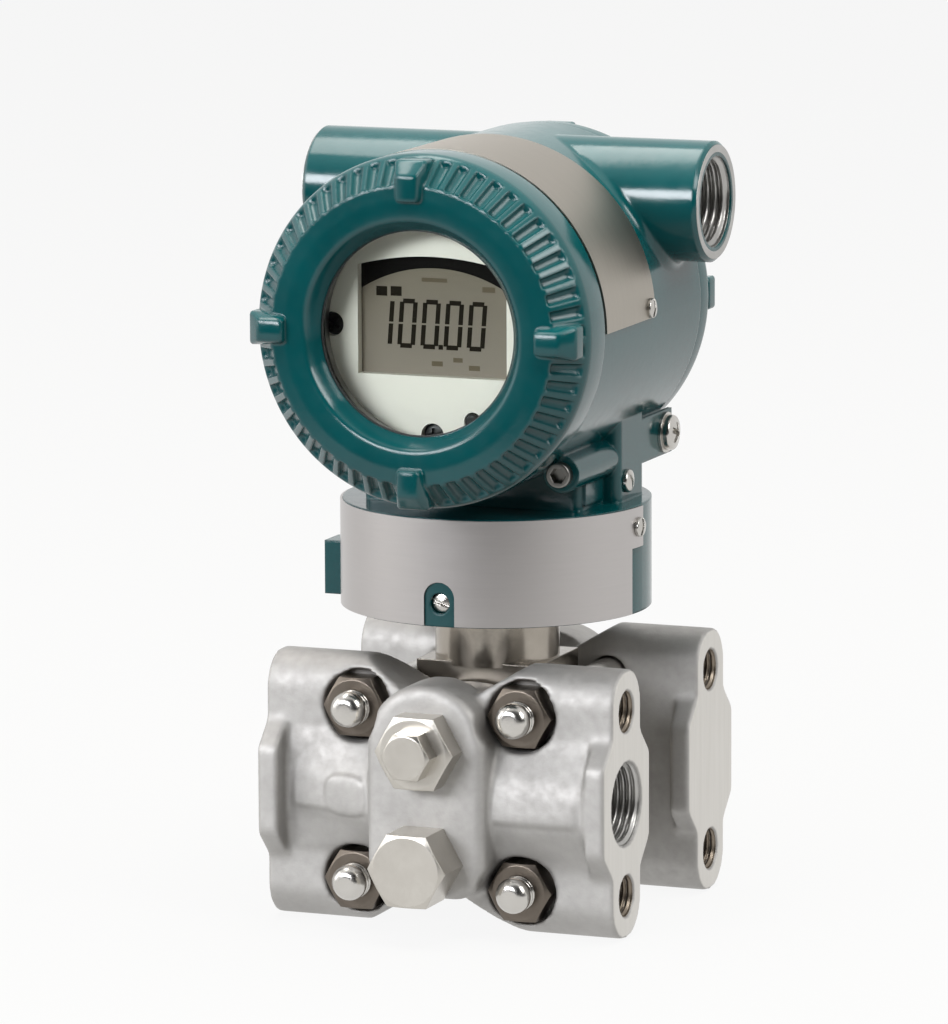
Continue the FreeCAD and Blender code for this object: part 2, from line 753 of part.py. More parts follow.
def amplifier_housing():
    """One casting: skirt, pedestal, drum with a chamber at each end, and the conduit tube across it."""
    drum_length = dim.drum_front + dim.drum_rear
    drum = rod(dim.drum_radius, drum_length, (0, -dim.drum_front, axis_height), ALONG_Y)
    spigot_length = drum_length + dim.front_spigot + dim.rear_spigot
    spigot_front = dim.drum_front + dim.front_spigot
    spigots = rod(spigot_radius, spigot_length, (0, -spigot_front, axis_height), ALONG_Y)
    bevel = dim.conduit_bevel
    reach, tube = dim.conduit_reach, dim.conduit_radius
    conduit = turned([
        (0, -reach), (tube - bevel, -reach), (tube, -reach + bevel),
        (tube, reach - bevel), (tube - bevel, reach), (0, reach)],
        (0, dim.conduit_back, conduit_height), ALONG_X)
    crown = rounded(
        join(drum, conduit), dim.conduit_fillet, lambda edge: isinstance(edge.Curve, Part.BSplineCurve))
    pedestal_top = axis_height - dim.drum_radius / 2
    front_half, rear_half = dim.pedestal_front_half, dim.pedestal_rear_half
    pedestal = [
        upright_block((-front_half, -dim.pedestal_front), (front_half, 0), pedestal_top),
        upright_block((-rear_half, -dim.pedestal_step), (rear_half, dim.pedestal_rear), pedestal_top),
    ]
    margin = dim.panel_margin
    panel = block(
        (0, margin - dim.pedestal_front, skirt_top + margin),
        (front_half + dim.panel_relief, -dim.pedestal_step - margin, skirt_top + margin + dim.panel_height))
    ground_low = skirt_top + dim.ground_boss_rise
    ground = cut(
        block((rear_half - dim.ground_boss_depth, 0, ground_low),
              (rear_half, dim.ground_boss_rear, ground_low + dim.ground_boss_height)),
        rod(dim.terminal_cover_radius + dim.cover_gap, dim.ground_boss_rear,
            (0, dim.drum_rear, axis_height), ALONG_Y))
    lock_bosses = [
        rod(dim.cover_lock_boss_radius, length, cover_lock_point(turn, length), facing(turn + 180))
        for turn, length in ((0, dim.cover_lock_boss_front), (180, dim.cover_lock_boss_rear))
    ]
    skirt = rod(skirt_radius, dim.skirt_height, (0, 0, skirt_bottom))
    stop = block(
        (-dim.stop_reach, -dim.stop_width / 2, skirt_bottom),
        (0, dim.stop_width / 2, skirt_bottom + dim.stop_height))
    casting = join(crown, spigots, *pedestal, panel, ground, *lock_bosses, skirt, stop)

    tools = [
        rod(skirt_bore, dim.neck_engagement + dim.skirt_headroom + OVERCUT, (0, 0, skirt_bottom - OVERCUT)),
        rod(chamber_radius, spigot_front - dim.bulkhead_front + OVERCUT,
            (0, -spigot_front - OVERCUT, axis_height), ALONG_Y),
        rod(chamber_radius, dim.drum_rear + dim.rear_spigot - bulkhead_rear + OVERCUT,
            (0, bulkhead_rear, axis_height), ALONG_Y),
        rod(dim.wire_radius, axis_height - neck_top, (0, -dim.bulkhead_front - dim.wire_radius, neck_top)),
        rod(dim.conduit_passage_radius, 2 * reach, (-reach, dim.conduit_back, conduit_height), ALONG_X),
    ]
    thread_length = dim.conduit_thread_depth + OVERCUT
    for x in (reach - dim.conduit_thread_depth, -reach - OVERCUT):
        at = (x, dim.conduit_back, conduit_height)
        tools.append(rod(dim.conduit_thread_radius, thread_length, at, ALONG_X))
    wall = dim.skirt_wall + 2 * OVERCUT
    lock_hole = dim.lock_screw_radius + dim.thread_clearance
    for turn in SIDES.values():
        tools.append(rod(lock_hole, wall, outwards(turn, skirt_bore - OVERCUT, lock_height), facing(turn)))
    for place, radius, length in housing_holes():
        tools.append(tapped(radius, length, *place))
    for shoulder, sign in ((dim.drum_front, -1), (dim.drum_rear, 1)):
        tools.append(ring_groove(sign * (shoulder + dim.cover_ring_offset + cover_ring_half())))
    node("amplifier_housing", cut(casting, *tools))


def upright_block(low, high, top):
    """A block with round vertical corners, from inside the skirt's top up to a height."""
    start = skirt_top - OVERCUT
    corners = [(low[0], low[1]), (high[0], low[1]), (high[0], high[1]), (low[0], high[1])]
    return padded([(x, y, dim.pedestal_corner) for x, y in corners], top - start, (0, 0, start))


def cover_ring_half():
    return dim.cover_ring_section / 2 + dim.ring_room


def ring_groove(middle):
    """The groove in a spigot that holds its cover's o-ring, as a tool."""
    half = cover_ring_half()
    bed = spigot_radius - dim.cover_ring_section - dim.ring_room
    outer = spigot_radius + OVERCUT
    section = [(bed, -half), (outer, -half), (outer, half), (bed, half)]
    return turned(section, (0, middle, axis_height), ALONG_Y)


def cover_lock_point(turn, distance):
    sign = 1 if turn == 0 else -1
    return (sign * dim.cover_lock_side, -sign * distance, axis_height - dim.cover_lock_drop)


def ground_place():
    low = skirt_top + dim.ground_boss_rise
    back = dim.ground_boss_rear - dim.ground_washer_radius
    return (dim.pedestal_rear_half, back, low + dim.ground_boss_height / 2), facing(90)


def zero_place():
    return (dim.pedestal_rear_half, dim.zero_back, skirt_top + dim.zero_rise), facing(90)


def data_plate_places():
    turn = dim.data_plate_tab_wrap.value / 2 - math.degrees(dim.plate_screw_head.value / skirt_radius.value)
    height = skirt_top - dim.plate_margin - dim.data_plate_tab / 2
    radius = skirt_radius + dim.plate_gap + dim.plate_thickness
    return [(outwards(sign * turn, radius, height), facing(sign * turn)) for sign in (1, -1)]


def name_plate_places():
    back = dim.drum_front - dim.name_plate_width + dim.name_plate_screw_inset
    radius = dim.drum_radius + dim.plate_gap + dim.plate_thickness
    rise = dim.plate_screw_head
    return [((sign * radius, -back, axis_height + rise), facing(sign * 90)) for sign in (1, -1)]


def cover_lock_places():
    fronts = ((0, dim.cover_lock_boss_front), (180, dim.cover_lock_boss_rear))
    return [(cover_lock_point(turn, length), facing(turn)) for turn, length in fronts]


def housing_holes():
    """Every screw hole of the housing: place, radius and depth."""
    holes = [(place, dim.plate_screw_radius, dim.plate_screw_length) for place in data_plate_places()]
    holes += [(place, dim.plate_screw_radius, dim.plate_screw_length) for place in name_plate_places()]
    holes += [(place, dim.cover_lock_radius, dim.cover_lock_length) for place in cover_lock_places()]
    holes.append((ground_place(), dim.ground_radius, dim.ground_length))
    holes.append((zero_place(), dim.zero_radius, dim.zero_length))
    return holes


def plates():
    """The wrap-round data plate with its notch and end tabs, and the name plate over the drum."""
    inner = skirt_radius + dim.plate_gap
    outer = inner + dim.plate_thickness
    low = skirt_bottom + dim.plate_margin
    height = dim.skirt_height - 2 * dim.plate_margin
    tab_low = low + height - dim.data_plate_tab
    half = dim.notch_width / 2
    crown = low + dim.notch_height - half
    notch = join(
        block((-half, -outer - OVERCUT, low - OVERCUT), (half, 0, crown)),
        rod(half, outer + OVERCUT, (0, 0, crown), facing(0)))
    band = join(
        sector(outer, height, dim.data_plate_wrap, (0, 0, low)),
        sector(outer, dim.data_plate_tab, dim.data_plate_tab_wrap, (0, 0, tab_low)))
    holes = [tapped(dim.plate_screw_radius, dim.plate_screw_length, *place) for place in data_plate_places()]
    core = rod(inner, height + 2 * OVERCUT, (0, 0, low - OVERCUT))
    node("data_plate", cut(band, core, notch, *holes))

    front = dim.drum_front - dim.plate_margin
    width = dim.name_plate_width
    shell_radius = dim.drum_radius + dim.plate_gap
    shell = cut(
        rod(shell_radius + dim.plate_thickness, width, (0, -front, axis_height), ALONG_Y),
        rod(shell_radius, width + 2 * OVERCUT, (0, -front - OVERCUT, axis_height), ALONG_Y))
    span = dim.drum_radius + 2 * OVERCUT
    upper = block((-span, -front - OVERCUT, axis_height), (span, width, axis_height + span))
    holes = [tapped(dim.plate_screw_radius, dim.plate_screw_length, *place) for place in name_plate_places()]
    node("name_plate", cut(common(shell, upper), *holes))


def housing_screws():
    small = (dim.plate_screw_head, dim.plate_screw_height, dim.plate_screw_radius, dim.plate_screw_length)
    node("data_plate_screws", group(*(screw(*small, *place) for place in data_plate_places())))
    node("name_plate_screws", group(*(screw(*small, *place) for place in name_plate_places())))
    lock = (dim.cover_lock_head, dim.cover_lock_height, dim.cover_lock_radius, dim.cover_lock_length)
    node("cover_lock_screws", group(*(screw(*lock, *place) for place in cover_lock_places())))
    tip = dim.neck_radius - dim.lock_groove_depth + dim.swivel_clearance
    length = skirt_radius - dim.lock_screw_recess - tip
    node("swivel_lock_screws", group(*(
        rod(dim.lock_screw_radius, length, outwards(turn, tip, lock_height), facing(turn))
        for turn in SIDES.values())))
    ground_at, ground_facing = ground_place()
    washer = dim.ground_washer_thickness
    hole = dim.ground_radius + dim.thread_clearance
    node("ground_washer", turned(
        [(hole, 0), (dim.ground_washer_radius, 0), (dim.ground_washer_radius, washer), (hole, washer)],
        ground_at, ground_facing))
    node("ground_screw", screw(
        dim.ground_head, dim.ground_head_height, dim.ground_radius, dim.ground_length,
        (ground_at[0] + washer, *ground_at[1:]), ground_facing))
    zero = (dim.zero_head, dim.zero_head_height, dim.zero_radius, dim.zero_length)
    zero_at, zero_facing = zero_place()
    node("zero_adjust_screw", screw(
        *zero, (zero_at[0] + dim.swivel_clearance, *zero_at[1:]), zero_facing))


def toothed_cover(section, radius, band, length, at, rotation):
    """A screw cover turned from its half section, with gaps cut between its teeth and with four lugs."""
    body = document.addObject("PartDesign::Body", "Cover")
    turn_sketch = outline(body, "XZ_Plane", section)
    turn = body.newObject("PartDesign::Revolution", "Turn")
    turn.Profile = turn_sketch
    turn.ReferenceAxis = (turn_sketch, ["V_Axis"])
    turn.Angle = 360
    beyond = radius + OVERCUT
    depth = dim.tooth_depth
    floor = radius - dim.cover_slope_drop - depth
    gap = body.newObject("PartDesign::Pocket", "Gap")
    gap.Profile = outline(body, "XZ_Plane", [
        (radius - depth, band - depth / 2),
        (beyond, band - depth / 2),
        (beyond, length + OVERCUT),
        (floor, length + OVERCUT),
        (floor, length - depth / 2)])
    gap.Midplane = True
    bind(gap, Length=dim.tooth_gap_width)
    teeth = body.newObject("PartDesign::PolarPattern", "Teeth")
    teeth.Originals = [gap]
    teeth.Axis = (turn_sketch, ["V_Axis"])
    teeth.Angle = 360
    bind(teeth, Occurrences=dim.tooth_count)
    body.Tip = teeth
    top = length + dim.lug_height
    lug_radius = radius - dim.lug_inset
    lug = body.newObject("PartDesign::Pad", "Lug")
    lug.Profile = outline(body, "XZ_Plane", [
        (dim.lug_inner_radius, length - dim.lug_rounding),
        (lug_radius, band - depth),
        (lug_radius, length, dim.lug_rounding),
        (lug_radius - 2 * dim.lug_height, top, dim.lug_rounding),
        (dim.lug_inner_radius, top, dim.lug_rounding)])
    lug.Midplane = True
    bind(lug, Length=dim.lug_width)
    lugs = body.newObject("PartDesign::PolarPattern", "Lugs")
    lugs.Originals = [lug]
    lugs.Axis = (turn_sketch, ["V_Axis"])
    lugs.Angle = 360
    bind(lugs, Occurrences=dim.lug_count)
    body.Tip = lugs
    return put(body, at, rotation)


def display_cover():
    """The glazed front cover with its glass, gasket and rings, from its open end outwards."""
    radius, length, band = dim.display_cover_radius, dim.display_cover_length, dim.display_cover_band
    seat = length - dim.window_bevel_height
    gasket_low = seat - dim.window_gasket_thickness
    glass_low = gasket_low - dim.glass_thickness
    ring_low = glass_low - dim.retaining_ring_height
    pocket = dim.glass_radius + dim.glass_clearance
    collar = pocket + dim.glass_collar_wall
    web = dim.front_spigot + dim.cover_gap
    rear = dim.drum_front + dim.cover_gap
    at = (0, -rear, axis_height)
    node("display_cover", toothed_cover([
        (cover_bore, 0),
        (radius, 0),
        (radius, band),
        (radius - dim.cover_slope_drop, length, dim.screw_rounding),
        (dim.window_radius + dim.window_bevel, length, dim.screw_rounding),
        (dim.window_radius, seat),
        (pocket, seat),
        (pocket, ring_low),
        (collar, ring_low),
        (collar, web),
        (cover_bore, web),
    ], radius, band, length, at, facing(0)))
    node("window_gasket", turned([
        (dim.window_radius, gasket_low), (dim.glass_radius, gasket_low),
        (dim.glass_radius, seat), (dim.window_radius, seat)], at, facing(0)))
    node("window_glass", turned([
        (0, glass_low), (dim.glass_radius, glass_low), (dim.glass_radius, gasket_low), (0, gasket_low)],
        at, facing(0)))
    inner = dim.glass_radius - dim.retaining_ring_width
    node("glass_retaining_ring", turned([
        (inner, ring_low), (dim.glass_radius, ring_low), (dim.glass_radius, glass_low), (inner, glass_low)],
        at, facing(0)))
    cover_ring("display_cover_o_ring", -(dim.drum_front + dim.cover_ring_offset + cover_ring_half()))


def cover_ring(label, middle):
    section = dim.cover_ring_section
    node(label, ring(spigot_radius - section / 2, section, (0, middle, axis_height), ALONG_Y))


def terminal_cover():
    """The blind rear cover, with a dished end."""
    radius, length, band = dim.terminal_cover_radius, dim.terminal_cover_length, dim.terminal_cover_band
    web = dim.rear_spigot + dim.cover_gap
    rear = dim.drum_rear + dim.cover_gap
    dish = dim.lug_inner_radius - dim.lug_rounding
    node("terminal_cover", toothed_cover([
        (cover_bore, 0),
        (radius, 0),
        (radius, band),
        (radius - dim.cover_slope_drop, length, dim.screw_rounding),
        (dish, length, dim.screw_rounding),
        (dish - dim.lug_height, length - dim.lug_height / 2, dim.screw_rounding),
        (0, length - dim.lug_height / 2),
        (0, web),
        (cover_bore, web),
    ], radius, band, length, (0, rear, axis_height), facing(180)))
    cover_ring("terminal_cover_o_ring", dim.drum_rear + dim.cover_ring_offset + cover_ring_half())


def bezel_screw_places(distance):
    """Screws at the indicator's left, bottom and right, at a distance in front of the neck's axis."""
    reach = dim.bezel_screw_circle
    spots = ((-reach, 0), (0, -reach), (reach, 0))
    return [((x, -distance, axis_height + z), facing(0)) for x, z in spots]


def indicator():
    """The electronics in front of the bulkhead: cpu assembly, indicator base, LCD, bezel and its button."""
    cpu_radius = chamber_radius - dim.cpu_gap
    node("cpu_assembly", turned([
        (0, 0), (cpu_radius, 0), (cpu_radius, dim.cpu_depth, dim.panel_margin), (0, dim.cpu_depth)],
        (0, -dim.bulkhead_front, axis_height), facing(0)))

    half = dim.lcd_width / 2
    middle = axis_height + dim.lcd_rise
    low, high = middle - dim.lcd_height / 2, middle + dim.lcd_height / 2
    arch_radius = (half * half + dim.lcd_arch * dim.lcd_arch) / (2 * dim.lcd_arch)
    window = common(
        block((-half, -bezel_front - OVERCUT, low), (half, -cpu_front, high)),
        rod(arch_radius, indicator_front, (0, -bezel_front - OVERCUT, high - arch_radius), ALONG_Y))
    button_at = (dim.button_right, -bezel_front - dim.button_travel, axis_height - dim.button_drop)
    button_room = rod(
        dim.button_radius + dim.button_clearance, dim.button_length + 2 * dim.button_travel, button_at, ALONG_Y)
    screw_rooms = [
        rod(dim.bezel_screw_room, dim.bezel_thickness + OVERCUT, *place)
        for place in bezel_screw_places(indicator_front)
    ]
    disc = turned([
        (0, 0), (indicator_radius, 0), (indicator_radius, dim.bezel_thickness, dim.screw_rounding),
        (0, dim.bezel_thickness)], (0, -indicator_front, axis_height), facing(0))
    node("indicator_bezel", cut(disc, window, button_room, *screw_rooms))
    node("range_button", turned([
        (0, -dim.button_length), (dim.button_radius, -dim.button_length),
        (dim.button_radius, 0, dim.screw_rounding), (0, 0)], button_at, facing(0)))

    lap = dim.lcd_lap
    lcd_low = (-half - lap, -indicator_front, low - lap)
    lcd_high = (half + lap, dim.lcd_thickness - indicator_front, high + lap)
    node("lcd_panel", block(lcd_low, lcd_high))
    bed = block(
        (lcd_low[0] - dim.ring_room, -indicator_front - OVERCUT, lcd_low[2] - dim.ring_room),
        (lcd_high[0] + dim.ring_room, lcd_high[1], lcd_high[2] + dim.ring_room))
    base = turned([
        (0, 0), (indicator_radius, 0), (indicator_radius, dim.indicator_depth), (0, dim.indicator_depth)],
        (0, -cpu_front, axis_height), facing(0))
    holes = [
        tapped(dim.bezel_screw_radius, dim.bezel_screw_length, *place)
        for place in bezel_screw_places(indicator_front)
    ]
    button_bed = rod(
        dim.button_radius + dim.button_clearance, 2 * dim.button_travel + OVERCUT,
        (dim.button_right, -indicator_front - OVERCUT, axis_height - dim.button_drop), ALONG_Y)
    node("indicator_base", cut(base, bed, button_bed, *holes))
    shape = (dim.bezel_screw_head, dim.bezel_screw_height, dim.bezel_screw_radius, dim.bezel_screw_length)
    node("indicator_screws", group(*(screw(*shape, *place) for place in bezel_screw_places(indicator_front))))


def terminals():
    """The terminal block behind the bulkhead: three screws with ribs between them, below the conduit."""
    radius = chamber_radius - dim.terminal_gap
    face = bulkhead_rear + dim.terminal_depth
    top = axis_height + dim.terminal_top
    disc = rod(radius, dim.terminal_depth, (0, bulkhead_rear, axis_height), ALONG_Y)
    lower = block((-radius, 0, axis_height - radius), (radius, face, top))
    ribs = []
    for step in (-1.5, -0.5, 0.5, 1.5):
        x = step * dim.terminal_pitch
        ribs.append(block(
            (x - dim.terminal_rib / 2, bulkhead_rear, axis_height - dim.terminal_pitch),
            (x + dim.terminal_rib / 2, face + dim.terminal_rib_height, top)))
    places = [((x * dim.terminal_pitch, face, axis_height), facing(180)) for x in (-1, 0, 1)]
    holes = [tapped(dim.terminal_radius, dim.terminal_length, *place) for place in places]
    node("terminal_block", cut(join(common(disc, lower), *ribs), *holes))
    shape = (dim.terminal_head, dim.terminal_head_height, dim.terminal_radius, dim.terminal_length)
    node("terminal_screws", group(*(screw(*shape, *place) for place in places)))


capsule()
for side_name, side_turn in SIDES.items():
    pocket_radius = dim.nut_pocket_radius if side_turn == 0 else dim.spot_face_radius
    process_flange(f"{side_name}_flange", side_turn, pocket_radius)
    capsule_side(side_name, side_turn)
    flange_plugs(side_name, side_turn)
flange_bolting()
amplifier_housing()
plates()
housing_screws()
display_cover()
indicator()
terminals()
terminal_cover()
document.recompute()

for item in document.Objects:
    if "Invalid" in item.State or "Error" in item.State:
        raise RuntimeError(f"{item.Label} ({item.TypeId}) did not build: {item.State}")
for label, item in nodes.items():
    if item.Shape.isNull() or not item.Shape.isValid() or not item.Shape.Solids:
        raise RuntimeError(f"{label} has no valid solid")

os.makedirs("parts", exist_ok=True)
for label, item in nodes.items():
    item.Shape.exportStep(f"parts/{label}.step")
    print(f"{label}: {len(item.Shape.Solids)} solid(s), {item.Shape.Volume:.0f} cubic mm")
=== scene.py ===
import math

import bmesh
import bpy
import numpy as np
from mathutils import Matrix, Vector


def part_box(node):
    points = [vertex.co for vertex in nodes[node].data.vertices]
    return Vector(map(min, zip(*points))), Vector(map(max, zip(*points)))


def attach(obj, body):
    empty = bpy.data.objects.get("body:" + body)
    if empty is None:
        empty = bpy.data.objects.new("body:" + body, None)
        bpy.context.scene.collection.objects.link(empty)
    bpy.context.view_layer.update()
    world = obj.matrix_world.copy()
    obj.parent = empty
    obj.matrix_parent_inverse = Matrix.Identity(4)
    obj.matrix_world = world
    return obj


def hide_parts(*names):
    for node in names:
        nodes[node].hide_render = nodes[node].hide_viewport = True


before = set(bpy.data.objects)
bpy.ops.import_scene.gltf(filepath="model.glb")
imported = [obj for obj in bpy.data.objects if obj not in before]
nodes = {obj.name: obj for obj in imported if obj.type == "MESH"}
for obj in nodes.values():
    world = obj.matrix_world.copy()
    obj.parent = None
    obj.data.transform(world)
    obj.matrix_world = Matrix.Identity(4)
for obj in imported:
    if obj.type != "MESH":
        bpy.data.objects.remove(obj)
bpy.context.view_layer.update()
tau = 2 * math.pi
mm = 0.001
print("frame loaded:", len(nodes), "nodes")


# Small helpers

def cadBox(node):  # a node's lowest and highest corners, in millimetres
    low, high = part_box(node)
    return np.array(low) / mm, np.array(high) / mm


def solidBoxes(node):  # the same for each separate solid of a node
    mesh = nodes[node].data
    points = np.empty(len(mesh.vertices) * 3)
    mesh.vertices.foreach_get("co", points)
    points, spot = np.unique(np.round(points.reshape(-1, 3) / mm, 3), axis=0, return_inverse=True)
    ends = np.empty(len(mesh.edges) * 2, np.int32)
    mesh.edges.foreach_get("vertices", ends)
    first, second = spot.ravel()[ends.reshape(-1, 2)].T
    label, settled = np.arange(len(points)), False
    while not settled:  # the lowest label spreads along the edges until each solid has one
        lowest, before = np.minimum(label[first], label[second]), label.copy()
        np.minimum.at(label, first, lowest)
        np.minimum.at(label, second, lowest)
        settled = bool((label == before).all())
    return [(points[label == one].min(0), points[label == one].max(0)) for one in np.unique(label)]


def linear(hexColour):  # sRGB hex to linear RGBA
    srgb = np.array([int(hexColour[i:i + 2], 16) for i in (1, 3, 5)]) / 255
    curve = np.where(srgb <= 0.04045, srgb / 12.92, ((srgb + 0.055) / 1.055) ** 2.4)
    return (*(float(value) for value in curve), 1.0)


def perMetre(millimetres):  # texture scale for a pattern of this real size
    return 1000 / millimetres


def addNode(tree, kind, sockets=None, **settings):
    node = tree.nodes.new(kind)
    for key, value in settings.items():
        setattr(node, key, value)
    for key, value in (sockets or {}).items():
        if isinstance(value, bpy.types.NodeSocket):
            tree.links.new(value, node.inputs[key])
        else:
            node.inputs[key].default_value = value
    return node


def newMaterial(name):
    material = bpy.data.materials.new(name)
    material.use_nodes = True
    material.node_tree.nodes.clear()
    return material, material.node_tree


def smoothStep(low, high, value):  # 0 below low, 1 above high, soft between
    share = np.clip((value - low) / (high - low), 0, 1)
    return share * share * (3 - 2 * share)


def dress(material, *names):  # a CAD node keeps its mesh and gets a material
    for name in names:
        nodes[name].data.materials.clear()
        nodes[name].data.materials.append(material)


def standing(across, up, back, spot):  # the matrix that gives an object these axes and this place
    turned = np.eye(4)
    turned[:3] = np.stack([across, up, back, spot], 1)
    return Matrix(turned.tolist())


# Surfaces: a grid of points, with rows round the piece and columns along its profile

def facing(turn, lift=0):  # local x, y, z axes: z looks outwards, 0 to the front and 90 to the right, y up
    bearing, rise = math.radians(turn), math.radians(lift)
    across = np.array([math.cos(bearing), math.sin(bearing), 0])
    level = np.array([math.sin(bearing), -math.cos(bearing), 0])
    up = np.array([0, 0, 1])
    return np.array([across, math.cos(rise) * up - math.sin(rise) * level,
                     math.cos(rise) * level + math.sin(rise) * up])


def placed(grid, origin, turn, lift=0):  # a grid in local millimetres to the frame's millimetres
    points, rows, columns = grid
    return np.asarray(origin) + points @ facing(turn, lift), rows, columns


def softProfile(corners, steps=5):
    # a line through (radius, height, rounding) corners; a rounded corner becomes an arc tangent to both runs
    points = []
    for index, corner in enumerate(corners):
        spot = np.array(corner[:2], float)
        if len(corner) == 2 or corner[2] == 0:
            points.append(spot[None])
            continue
        back = np.array(corners[index - 1][:2]) - spot
        onward = np.array(corners[(index + 1) % len(corners)][:2]) - spot
        back, onward = back / np.linalg.norm(back), onward / np.linalg.norm(onward)
        half = math.acos(np.clip(back @ onward, -1, 1)) / 2
        middle = spot + (back + onward) / np.linalg.norm(back + onward) * corner[2] / math.sin(half)
        start = spot + back * corner[2] / math.tan(half) - middle
        end = spot + onward * corner[2] / math.tan(half) - middle
        first = math.atan2(start[1], start[0])
        sweep = (math.atan2(end[1], end[0]) - first + math.pi) % tau - math.pi
        angle = first + sweep * np.linspace(0, 1, steps + 1)
        points.append(middle + corner[2] * np.stack([np.cos(angle), np.sin(angle)], 1))
    return np.concatenate(points)


def runAlong(profile):  # the distance travelled along a profile at each of its points
    return np.concatenate([[0], np.cumsum(np.linalg.norm(np.diff(profile, axis=0), axis=1))])


def resampled(profile, first, last, step):  # extra points every step between two distances along a profile
    run = runAlong(profile)
    fine = np.union1d(run, np.arange(first, last, step))
    return fine, np.stack([np.interp(fine, run, profile[:, k]) for k in (0, 1)], 1)


def lathe(radius, height, angle):
    # a point at the given radius and angle round local z, and at the given height along it
    angle = angle[:, None]
    radius, height = np.broadcast_arrays(radius, height)
    radius = radius + 0 * angle
    return np.stack([radius * np.cos(angle), radius * np.sin(angle), height + 0 * angle], -1)


def around(count):  # equal angles over one turn
    return np.linspace(0, tau, count, endpoint=False)


def hexRadius(angle, across):  # from the axis out to a hexagon with corners at its left and right
    return across / 2 / np.cos(angle % (tau / 6) - tau / 12)


def hexHead(across, length, face, bore=0.0, samples=96, slope=30, steps=5):
    # a hexagon prism with both ends turned to cones: height falls by tan(slope) times radius past the face
    angle = around(samples)
    corner = hexRadius(angle, across)[:, None]
    reach = face + (corner - face) * np.linspace(0, 1, steps)
    fall = (reach - face) * math.tan(math.radians(slope))
    inner = np.full((samples, 1), bore)
    radius = np.concatenate([inner, reach, reach[:, ::-1], inner], 1)
    height = np.concatenate([0 * inner, fall, length - fall[:, ::-1], length + 0 * inner], 1)
    return lathe(radius, height, angle), True, bore > 0


def threadWave(turns, flat=1 / 6):
    # 0 at the crest and 1 at the root, with straight flanks, and flats that are this share of the pitch
    return np.clip(0.5 + (0.25 - np.abs(turns % 1 - 0.5)) / (0.5 - flat), 0, 1)


def gridFaces(rows, columns, closeRows, closeColumns, start):
    # the four corners of every cell; a closed direction wraps round to its first line
    lines = np.arange(rows - (not closeRows)), np.arange(columns - (not closeColumns))
    i, j = np.meshgrid(*lines, indexing="ij")
    k, m = (i + 1) % rows, (j + 1) % columns
    corners = [i * columns + j, k * columns + j, k * columns + m, i * columns + m]
    return np.stack(corners, -1).reshape(-1, 4) + start


def weld(mesh, distance):  # points closer than this many metres become one
    merged = bmesh.new()
    merged.from_mesh(mesh)
    bmesh.ops.remove_doubles(merged, verts=merged.verts, dist=distance)
    merged.to_mesh(mesh)
    merged.free()


def makePiece(name, grids, material, body, replaced=(), crease=35):
    # grids: (points in mm, rows closed, columns closed); points that meet, such as poles, are merged
    points, faces, count = [], [], 0
    for grid, closeRows, closeColumns in grids:
        rows, columns = grid.shape[:2]
        points.append(grid.reshape(-1, 3))
        faces.append(gridFaces(rows, columns, closeRows, closeColumns, count))
        count += rows * columns
    points, faces = np.concatenate(points) * mm, np.concatenate(faces)
    mesh = bpy.data.meshes.new(name)
    mesh.vertices.add(len(points))
    mesh.vertices.foreach_set("co", points.ravel())
    mesh.loops.add(faces.size)
    mesh.loops.foreach_set("vertex_index", faces.ravel())
    mesh.polygons.add(len(faces))
    mesh.polygons.foreach_set("loop_start", np.arange(len(faces)) * 4)
    mesh.update(calc_edges=True)
    weld(mesh, distance=1e-8)
    addPiece(name, mesh, material, body, replaced, crease)


def addPiece(name, mesh, material, body, replaced, crease):  # edges stay sharp above crease degrees
    mesh.materials.clear()
    mesh.materials.append(material)
    mesh.shade_smooth()
    mesh.set_sharp_from_angle(angle=math.radians(crease))
    piece = bpy.data.objects.new(name, mesh)
    bpy.context.scene.collection.objects.link(piece)
    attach(piece, body)
    if replaced:
        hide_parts(*replaced)


# Camera: fitted to the photograph's own edges; turn and tilt are the photograph's viewing angle

cameraValues = dict(turn=21.61, tilt=9.33, roll=0.22, distance=1641.56, target=(0, 0, 90), lens=257.77,
                    sensor=36, shiftX=-0.0226, shiftY=-0.00617, clip=(0.05, 20))


def makeCamera(values):
    turn, tilt, roll = (math.radians(values[key]) for key in ("turn", "tilt", "roll"))
    back = np.array([math.sin(turn) * math.cos(tilt), -math.cos(turn) * math.cos(tilt), math.sin(tilt)])
    right = np.array([math.cos(turn), math.sin(turn), 0])
    up = np.cross(back, right)
    right, up = math.cos(roll) * right - math.sin(roll) * up, math.sin(roll) * right + math.cos(roll) * up
    spot = (np.array(values["target"]) + back * values["distance"]) * mm
    data = bpy.data.cameras.new("camera")
    data.lens, data.sensor_width = values["lens"], values["sensor"]
    data.shift_x, data.shift_y = values["shiftX"], values["shiftY"]
    data.clip_start, data.clip_end = values["clip"]
    camera = bpy.data.objects.new("camera", data)
    camera.matrix_world = standing(right, up, back, spot)
    bpy.context.scene.collection.objects.link(camera)
    bpy.context.scene.camera = camera


makeCamera(cameraValues)

# Studio: white paper under and behind, soft boxes, and a dark room on the side where the photographer stands

